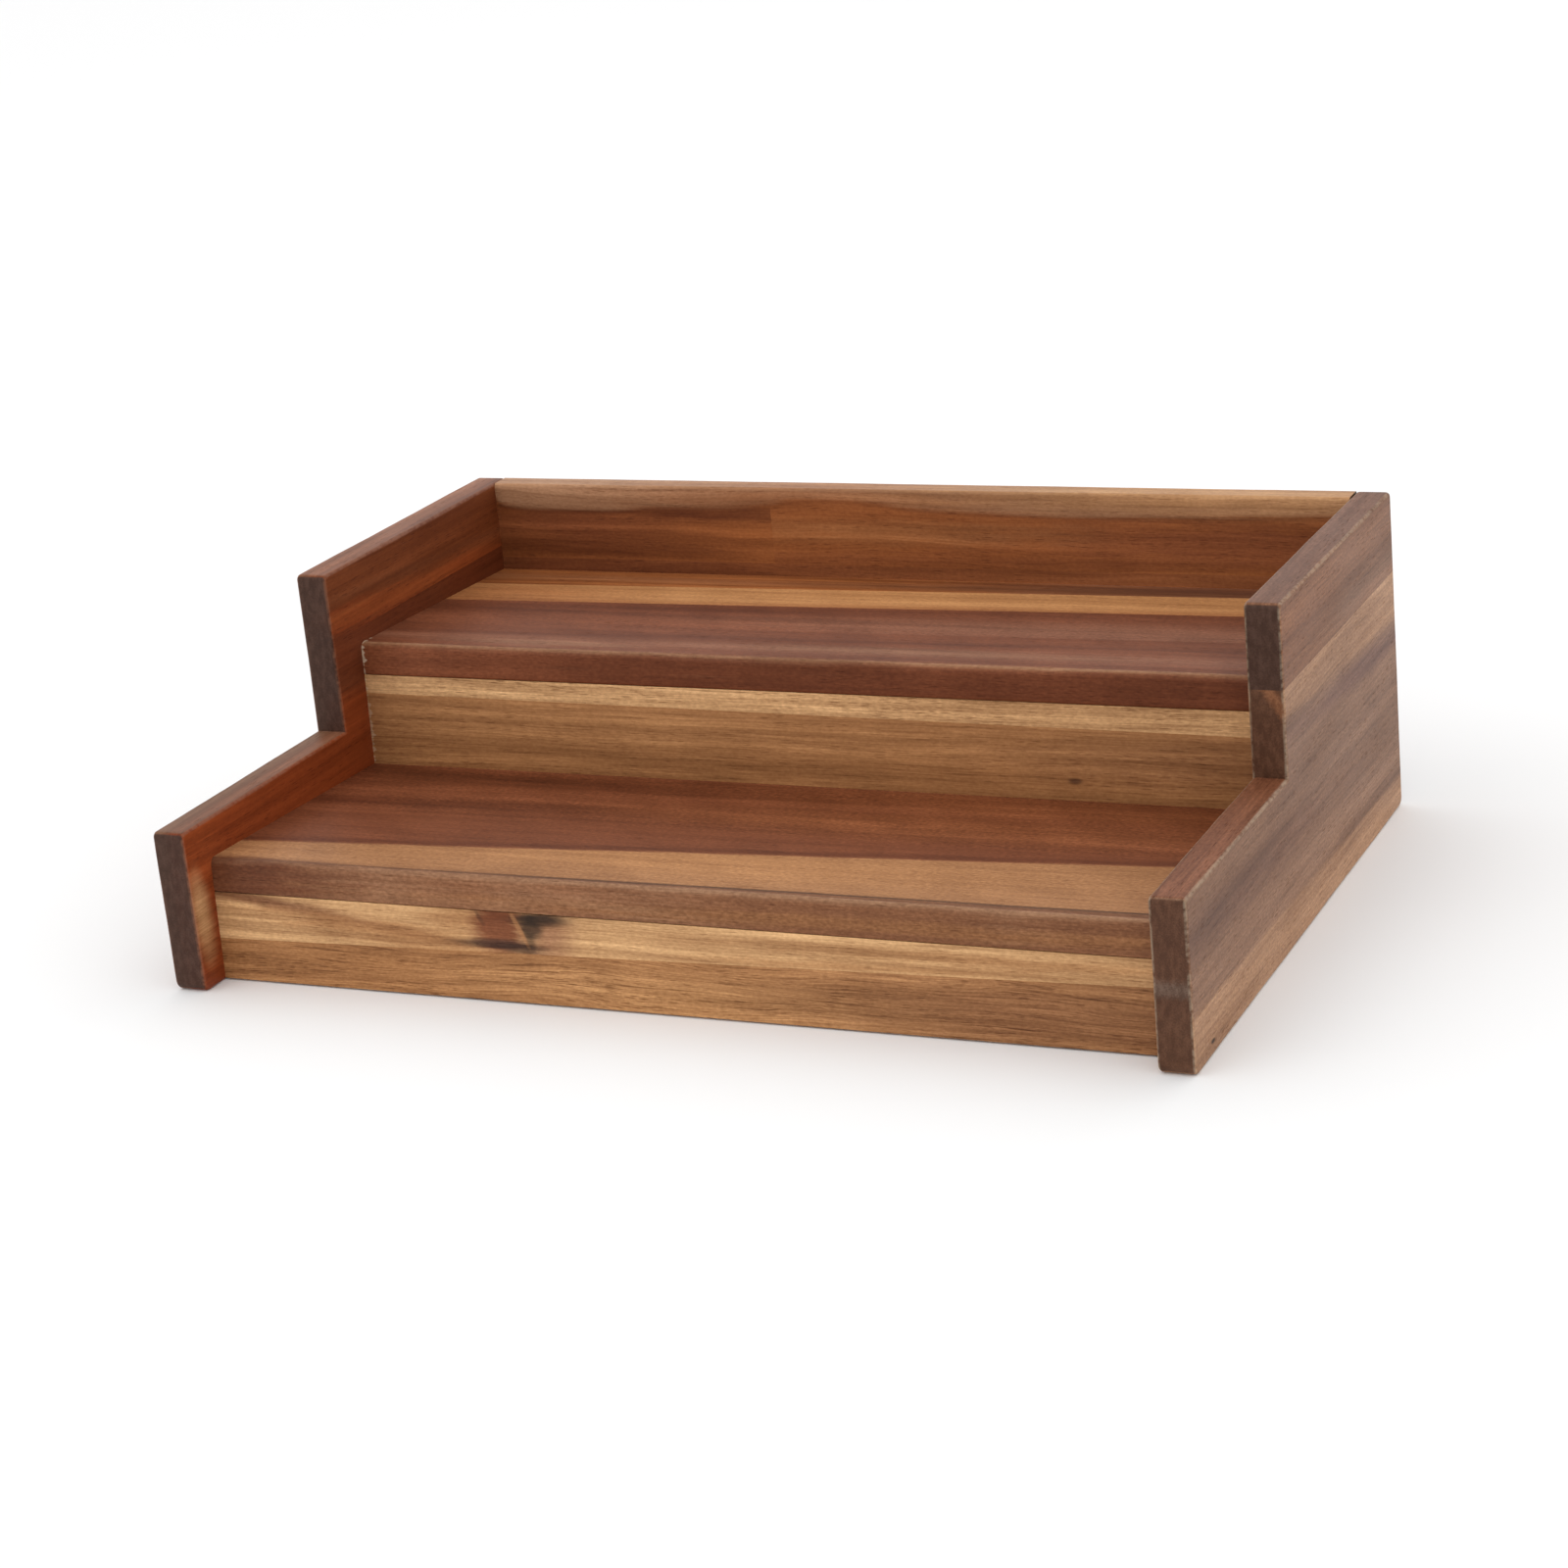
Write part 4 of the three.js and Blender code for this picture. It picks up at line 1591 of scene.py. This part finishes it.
def upper_shelf_finishes() -> SlottedWoods:
    """Woods of the upper shelf: dark red staves, an ochre one and a brown one at the back.

    Returns:
        The slots and finishes by stave, from the front.
    """
    red = {"figure": 0.35, "broad": 0.3, "streak": 0.18, "fibre": 0.2, "lines": 0.15, "speck": 0.46}
    return {
        "front": (Slot.RED, AcaciaFinish("upper_front_acacia", Timber.RED, (
            # The rose strip and the two grey tan patches behind the nosing are painted sheen; the thin grey
            # tan strip at the nosing is a painted highlight.
            Strip(Timber.ROSE, 119.0, 128.0, soft=5.0, wander=3.0, strength=0.6),
            Strip(Timber.DARK_RED, 132.0, 136.0, 0.03, soft=2.5, wander=4.0, strength=0.5),
            Strip(Timber.GREY_TAN, 111.2, 112.4, soft=0.6, wander=0.6, strength=0.7),
            Patch(Timber.GREY_TAN, -98.0, 119.0, 30.0, 3.0, 0.9, 0.9, 0.35),
            Patch(Timber.GREY_TAN, 40.0, 124.0, 60.0, 3.5, 0.9, 0.9, 0.3),
            Patch(Timber.GLUE_AND_GLINT, -167.8, 110.5, 0.5, 2.5, 0.6, 6.0, 0.6),
        ), wear_and_highlight=0.1, **{**red, "speck": 0.3})),
        "second": (Slot.RED, AcaciaFinish("upper_second_acacia", Timber.RED, (
            # The rose patch towards the right is painted sheen.
            Patch(Timber.ROSE, 100.0, 156.0, 110.0, 10.0, 0.8, 0.5, 0.7),
            Patch(Timber.DARK_RED, -90.0, 169.0, 110.0, 6.0, 0.8, 0.8, 0.7, 2.0),
        ), **red)),
        "third": (Slot.TAN, AcaciaFinish("upper_third_acacia", Timber.OCHRE, (
            Strip(Timber.AMBER, 170.0, 183.0, 0.033, soft=3.0, strength=0.5),
            Patch(Timber.AMBER, -150.0, 186.0, 45.0, 12.0, 0.9, 0.5, 0.65),
        ), broad=0.2, streak=0.22, speck=0.3, rings=0.1)),
        "rear": (Slot.GOLDEN, AcaciaFinish("upper_rear_acacia", Timber.AMBER, (
            Patch(Timber.PLUM, 120.0, 212.0, 80.0, 9.0, 0.9, 0.5, 0.85),
            Strip(Timber.BROWN, 206.0, 214.0, soft=3.0, strength=0.5),
        ), streak=0.45)),
    }


def lower_riser_finishes() -> SlottedWoods:
    """Woods of the lower riser: cream sapwood with a knot over golden brown.

    Returns:
        The slots and finishes by stave.
    """
    return {
        "bottom": (Slot.GOLDEN, AcaciaFinish("lower_riser_bottom_acacia", Timber.GOLDEN, (
            Patch(Timber.OLIVE, -140.0, -33.0, 70.0, 12.0, 0.8, 0.4, 0.7),
            Patch(Timber.STRAW, 10.0, -36.0, 70.0, 6.0, 0.9, 0.5, 0.5),
            Patch(Timber.BROWN, 130.0, -34.0, 80.0, 12.0, 0.8, 0.4, 0.65),
        ), rings=0.25, spacing=3.5, streak=0.4, fibre=0.6, lines=1.0, speck=0.26, pores=0.5, pore_depth=0.9,
            wander=3.5)),
        "top": (Slot.CREAM, AcaciaFinish("lower_riser_top_acacia", Timber.CREAM, (
            Patch(Timber.BROWN, -150.0, -14.0, 28.0, 1.8, 0.8, 0.6, 0.9, -5.0),
            Patch(Timber.BROWN, -110.0, -19.5, 40.0, 1.5, 0.8, 0.6, 0.9, -7.0),
            Patch(Timber.GOLDEN, -96.0, -22.5, 50.0, 4.0, 0.7, 0.8, 0.8, -5.0),
            Patch(Timber.GOLDEN, -72.0, -15.0, 14.0, 4.0, 0.6, 0.6, 0.7),
            Patch(Timber.ROSE, -42.0, -18.0, 8.0, 9.0, 0.9, 0.5, 0.7),
            Patch(Timber.RED, -60.0, -16.5, 9.0, 11.0, 0.45, 0.6, 0.95),
            Patch(Timber.UMBER, -66.5, -14.0, 3.0, 0.7, 0.7, 0.8, 0.6, -60.0),
            Patch(Timber.CHESTNUT, -58.0, -13.0, 6.0, 1.2, 0.7, 0.9, 0.6, 8.0),
            Patch(Timber.WALNUT, -63.0, -23.0, 13.0, 1.6, 0.6, 0.7, 0.8, 2.0),
            Patch(Timber.WALNUT, -52.0, -24.2, 8.0, 1.4, 0.6, 0.6, 0.8),
            Patch(Timber.SOOT, -44.0, -13.6, 10.0, 2.1, 0.6, 0.4, 0.9, 4.0),
            Patch(Timber.SOOT, -47.8, -17.0, 4.0, 4.0, 0.5, 0.4, 0.8),
            Patch(Timber.SOOT, -48.6, -21.5, 2.0, 3.5, 0.6, 0.5, 0.5),
            Patch(Timber.TAN, -52.2, -17.0, 6.5, 0.85, 0.5, 0.2, 0.75, -64.0),
            Patch(Timber.OLIVE, 110.0, -16.5, 90.0, 1.8, 0.8, 0.8, 0.6),
            Patch(Timber.GOLDEN, 70.0, -21.5, 60.0, 1.4, 0.8, 0.8, 0.6, 1.5),
        ), broad=0.3, streak=0.4, fibre=0.4, lines=0.4, speck=0.24, pores=0.3)),
    }


def upper_riser_finishes() -> SlottedWoods:
    """Woods of the upper riser: cream sapwood over golden olive brown.

    Returns:
        The slots and finishes by stave.
    """
    return {
        "bottom": (Slot.GOLDEN, AcaciaFinish("upper_riser_bottom_acacia", Timber.GOLDEN, (
            Strip(Timber.OLIVE, -10.0, 12.0, soft=6.0, wander=6.0, strength=0.7),
            Strip(Timber.CREAM, 26.5, 60.0, -0.008, soft=0.8, wander=2.0),
            Patch(Timber.BROWN, 150.0, 14.0, 60.0, 8.0, 0.8, 0.6, 0.4),
            Patch(Timber.UMBER, 102.0, 6.8, 2.6, 1.0, 0.5, 0.4, 0.8),
            Patch(Timber.GLUE_AND_GLINT, -167.8, 12.0, 0.45, 18.0, 0.6, 7.0, 0.35),
        ), streak=0.3, fibre=0.4, lines=0.45, speck=0.2, pores=0.4)),
        "top": (Slot.CREAM, AcaciaFinish("upper_riser_top_acacia", Timber.CREAM, (
            Patch(Timber.GLUE_AND_GLINT, -167.8, 24.0, 0.45, 14.0, 0.6, 7.0, 0.4),
        ), streak=0.35, fibre=0.45, lines=0.4, speck=0.26, pores=0.5, pore_depth=0.9)),
    }


@dataclass
class BackRail:
    """Rail behind the upper shelf: a lower stave, and an upper one joined end to end.

    Attributes:
        ease: radius of its eased top edges.
        left_seed: phase of the ripple along the left upper length.
        right_seed: the same for the right one.
    """

    ease: float = 1.3
    left_seed: float = 5.2
    right_seed: float = 0.9

    def board(self) -> BoardFrame:
        """Frame of the rail, upright, with its across from the floor."""
        return BoardFrame((0.0, 0.0, 0.0), (1.0, 0.0, 0.0), (0.0, 0.0, 1.0))

    def build(self) -> list[bpy.types.Object]:
        """Builds and dresses the rail's three lengths.

        Returns:
            The rail's pieces.
        """
        board = self.board()
        left, right = Stair().span()
        low, high = board.extent("back_bottom_stave")
        butt, top = board.extent("back_top_left_stave")[1][:2]
        butt = butt + GLUE_FILM / 2.0
        line = high[1] + GLUE_FILM / 2.0
        lower = self.section((low[1], line), (low[2], high[2]), 0.0)
        upper = self.section((line, top), (low[2], high[2]), self.ease)
        shells = {
            "bottom": carried_board(lower, (left, right), 0.0),
            "top_left": carried_board(upper, (left, butt), self.left_seed),
            "top_right": carried_board(upper, (butt, right), self.right_seed),
        }
        finishes = back_finishes()
        return [
            Stave(f"back_{stave}_stave", Slot.RED, finishes[stave], shell).dress(board)
            for stave, shell in shells.items()
        ]

    def section(
        self, heights: tuple[float, float], faces: tuple[float, float], ease: float,
    ) -> list[SectionCorner]:
        """Section between two heights and two faces, with its upper corners eased.

        Args:
            heights: its foot and its head.
            faces: where the two faces lie through the thickness.
            ease: radius of the upper corners.

        Returns:
            The corners in order.
        """
        (foot, head), (near, far) = heights, faces
        return [
            SectionCorner(foot, near), SectionCorner(head, near, ease),
            SectionCorner(head, far, ease), SectionCorner(foot, far),
        ]


def back_finishes() -> dict[str, AcaciaFinish]:
    """Woods of the back rail: dark red brown under a wavy band of cream sapwood.

    Returns:
        The finishes by stave.
    """
    common = {"broad": 0.3, "streak": 0.32, "fibre": 0.2, "speck": 0.2, "rings": 0.2, "wander": 3.0}
    winding = ((-168.0, 109.0), (-150.0, 105.6), (-125.0, 105.6), (-100.0, 107.2), (-73.0, 107.6),
               (-51.0, 109.1), (-32.0, 111.0), (-13.0, 110.2), (12.0, 107.6), (38.0, 107.2),
               (68.0, 106.8), (105.0, 107.0), (168.0, 108.6))
    rim = Strip(Timber.DARK_RED, -1.6, 0.4, soft=1.0, wander=1.0, bend=winding, strength=0.5)
    sap = Strip(Timber.GREY_TAN, 0.0, 40.0, soft=1.3, wander=1.0, bend=winding, strength=0.9)
    tint = Patch(Timber.AMBER, -35.0, 110.5, 62.0, 5.0, 0.8, 0.5, 0.5)
    return {
        "bottom": AcaciaFinish("back_bottom_acacia", Timber.RUSSET, (
            Patch(Timber.DARK_RED, -130.0, 80.0, 60.0, 9.0, 0.8, 0.6, 0.7),
        ), **common),
        "top_left": AcaciaFinish("back_left_acacia", Timber.AMBER, (
            Patch(Timber.DARK_RED, -135.0, 91.0, 60.0, 5.5, 0.9, 0.3, 0.75),
            Patch(Timber.RED, -140.0, 101.0, 45.0, 6.0, 0.9, 0.3, 0.8),
            Patch(Timber.DARK_RED, -76.0, 105.0, 30.0, 3.0, 0.5, 0.5, 0.8), rim, sap, tint,
        ), **common),
        "top_right": AcaciaFinish("back_right_acacia", Timber.AMBER, (
            Patch(Timber.RED, 120.0, 97.0, 80.0, 7.0, 0.8, 0.7, 0.7),
            Patch(Timber.GOLDEN, 0.0, 99.0, 60.0, 4.0, 0.8, 0.8, 0.3),
            Strip(Timber.RED, 86.0, 91.0, 0.01, soft=3.0, strength=0.4), rim, sap, tint,
            Patch(Timber.STRAW, 120.0, 114.0, 90.0, 5.0, 0.9, 0.5, 0.6),
        ), **common),
    }


@dataclass(frozen=True)
class DowelFinish:
    """Raw turned birch of the hidden dowels.

    Attributes:
        name: name of the material.
        roughness: roughness of the raw wood.
    """

    name: str = "raw_dowel_birch"
    roughness: float = 0.62

    def material(self) -> bpy.types.Material:
        """Builds the material, with its grain along X.

        Returns:
            The new material.
        """
        board = BoardFrame((0.0, 0.0, 0.0), (1.0, 0.0, 0.0), (0.0, 1.0, 0.0))
        raw = AcaciaFinish(
            self.name, Timber.BIRCH, (), rings=0.1, broad=0.1, streak=0.15, pores=0.2, figure=0.0,
            end=Timber.STRAW, wear_and_highlight=0.0, roughness=self.roughness,
        )
        return raw.material(board)


@dataclass
class Dowels:
    """Hidden dowels, which keep their CAD shape and take a wood of their own."""

    finish: DowelFinish = DowelFinish()

    def build(self) -> list[bpy.types.Object]:
        """Dresses every dowel node.

        Returns:
            The dowels' CAD nodes.
        """
        wood = self.finish.material()
        nodes = [node for name, node in frame["nodes"].items() if name.endswith("_dowel")]
        for node in nodes:
            node.data.materials.clear()
            node.data.materials.append(wood)
            log.info("%s: dressed in place", node.name)
        return nodes


@dataclass
class Studio:
    """Pale floor, soft light and the camera.

    Attributes:
        floor_size: half the side of the floor in metres.
        eye: the camera's place in metres.
        yaw: its turn to the left of straight ahead, in degrees.
        pitch: how far it looks down, in degrees.
        roll: its tilt, in degrees.
        focal: focal length in pixels of the photograph.
        picture: side of the photograph in pixels.
        sensor: sensor width in millimetres.
        clip: nearest and furthest distance that it sees, in metres.
        floor_tone: grey of the floor.
        floor_roughness: roughness of the floor.
        floor_gloss: specular level of the floor.
        surround: strength of the white surround.
        aim: point that the lamps face, in metres.
    """

    floor_size: float = 12.0
    eye: tuple[float, float, float] = (0.492806, -1.048029, 0.430807)
    yaw: float = -25.36776
    pitch: float = 18.59523
    roll: float = 5.52925
    focal: float = 3623.51
    picture: float = 1600.0
    sensor: float = 36.0
    clip: tuple[float, float] = (0.01, 100.0)
    floor_tone: float = 0.95
    floor_roughness: float = 0.9
    floor_gloss: float = 0.1
    surround: float = 1.04
    aim: tuple[float, float, float] = (0.0, 0.0, 0.05)

    def camera(self) -> None:
        """Sets the camera from its yaw, pitch and roll."""
        yaw, pitch, roll = (math.radians(angle) for angle in (self.yaw, self.pitch, self.roll))
        flat = math.cos(pitch)
        ahead = np.array([math.sin(yaw) * flat, math.cos(yaw) * flat, -math.sin(pitch)])
        level = np.array([math.cos(yaw), -math.sin(yaw), 0.0])
        down = np.cross(ahead, level)
        right = math.cos(roll) * level + math.sin(roll) * down
        below = -math.sin(roll) * level + math.cos(roll) * down
        data = bpy.data.cameras.new("photo_camera")
        data.sensor_width = self.sensor
        data.lens = self.focal / self.picture * self.sensor
        data.clip_start, data.clip_end = self.clip
        camera = bpy.data.objects.new("photo_camera", data)
        turned = Matrix(np.stack([right, -below, -ahead], axis=-1).tolist()).to_4x4()
        camera.matrix_world = Matrix.Translation(self.eye) @ turned
        bpy.context.scene.collection.objects.link(camera)
        bpy.context.scene.camera = camera

    def floor(self) -> None:
        """Lays a plain pale floor under the object."""
        side = np.array([-self.floor_size, self.floor_size])
        across, deep = np.meshgrid(side, side)
        places = np.stack([across.ravel(), deep.ravel(), np.zeros(4)], axis=-1)
        mesh = bpy.data.meshes.new("pale_floor")
        mesh.from_pydata(places.tolist(), [], [(0, 1, 3, 2)])
        pale = bpy.data.materials.new("pale_floor")
        pale.use_nodes = True
        shader = pale.node_tree.nodes["Principled BSDF"]
        shader.inputs["Base Color"].default_value = (*[self.floor_tone] * 3, 1.0)
        shader.inputs["Roughness"].default_value = self.floor_roughness
        shader.inputs["Specular IOR Level"].default_value = self.floor_gloss
        mesh.materials.append(pale)
        floor = bpy.data.objects.new("pale_floor", mesh)
        bpy.context.scene.collection.objects.link(floor)
        floor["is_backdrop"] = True

    def lamp(self, name: str, place: Sequence[float], size: float, power: float) -> None:
        """Hangs a square soft light that faces the object.

        Args:
            name: name of the light.
            place: where it hangs, in metres.
            size: side of the square in metres.
            power: power in watts.
        """
        data = bpy.data.lights.new(name, "AREA")
        data.size = size
        data.energy = power
        light = bpy.data.objects.new(name, data)
        light.location = place
        light.rotation_euler = (Vector(self.aim) - Vector(place)).to_track_quat("-Z", "Y").to_euler()
        bpy.context.scene.collection.objects.link(light)

    def light(self) -> None:
        """Sets a white surround and two soft lamps."""
        world = bpy.data.worlds.new("white_surround")
        world.use_nodes = True
        backdrop = world.node_tree.nodes["Background"]
        backdrop.inputs["Color"].default_value = (1.0, 1.0, 1.0, 1.0)
        backdrop.inputs["Strength"].default_value = self.surround
        scene = bpy.context.scene
        scene.world = world
        scene.view_settings.view_transform = "Standard"
        self.lamp("high_front", (-0.9, -1.3, 1.7), size=1.4, power=4.0)
        self.lamp("high_back", (0.3, 1.4, 1.6), size=1.6, power=3.0)

    def build(self) -> None:
        """Sets the camera, the floor and the lights."""
        self.camera()
        self.floor()
        self.light()


def write_sizes() -> None:
    """Gathers the CAD model's box and the dressed model's box as plain lists of metres; nothing is written.
    """
    boxes = {"cad": cad_box, "visual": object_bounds()}
    {name: [list(low), list(high)] for name, (low, high) in boxes.items()}


def main() -> None:
    """Builds the studio and every sub-assembly in order."""
    logging.basicConfig(level=logging.INFO, format="%(message)s")
    Studio().build()
    for part in (SidePanel(Side.LEFT), SidePanel(Side.RIGHT), Stair(), BackRail(), Dowels()):
        pieces = part.build()
        log.info("%s: %d pieces", type(part).__name__, len(pieces))
    write_sizes()


if __name__ == "__main__":
    main()
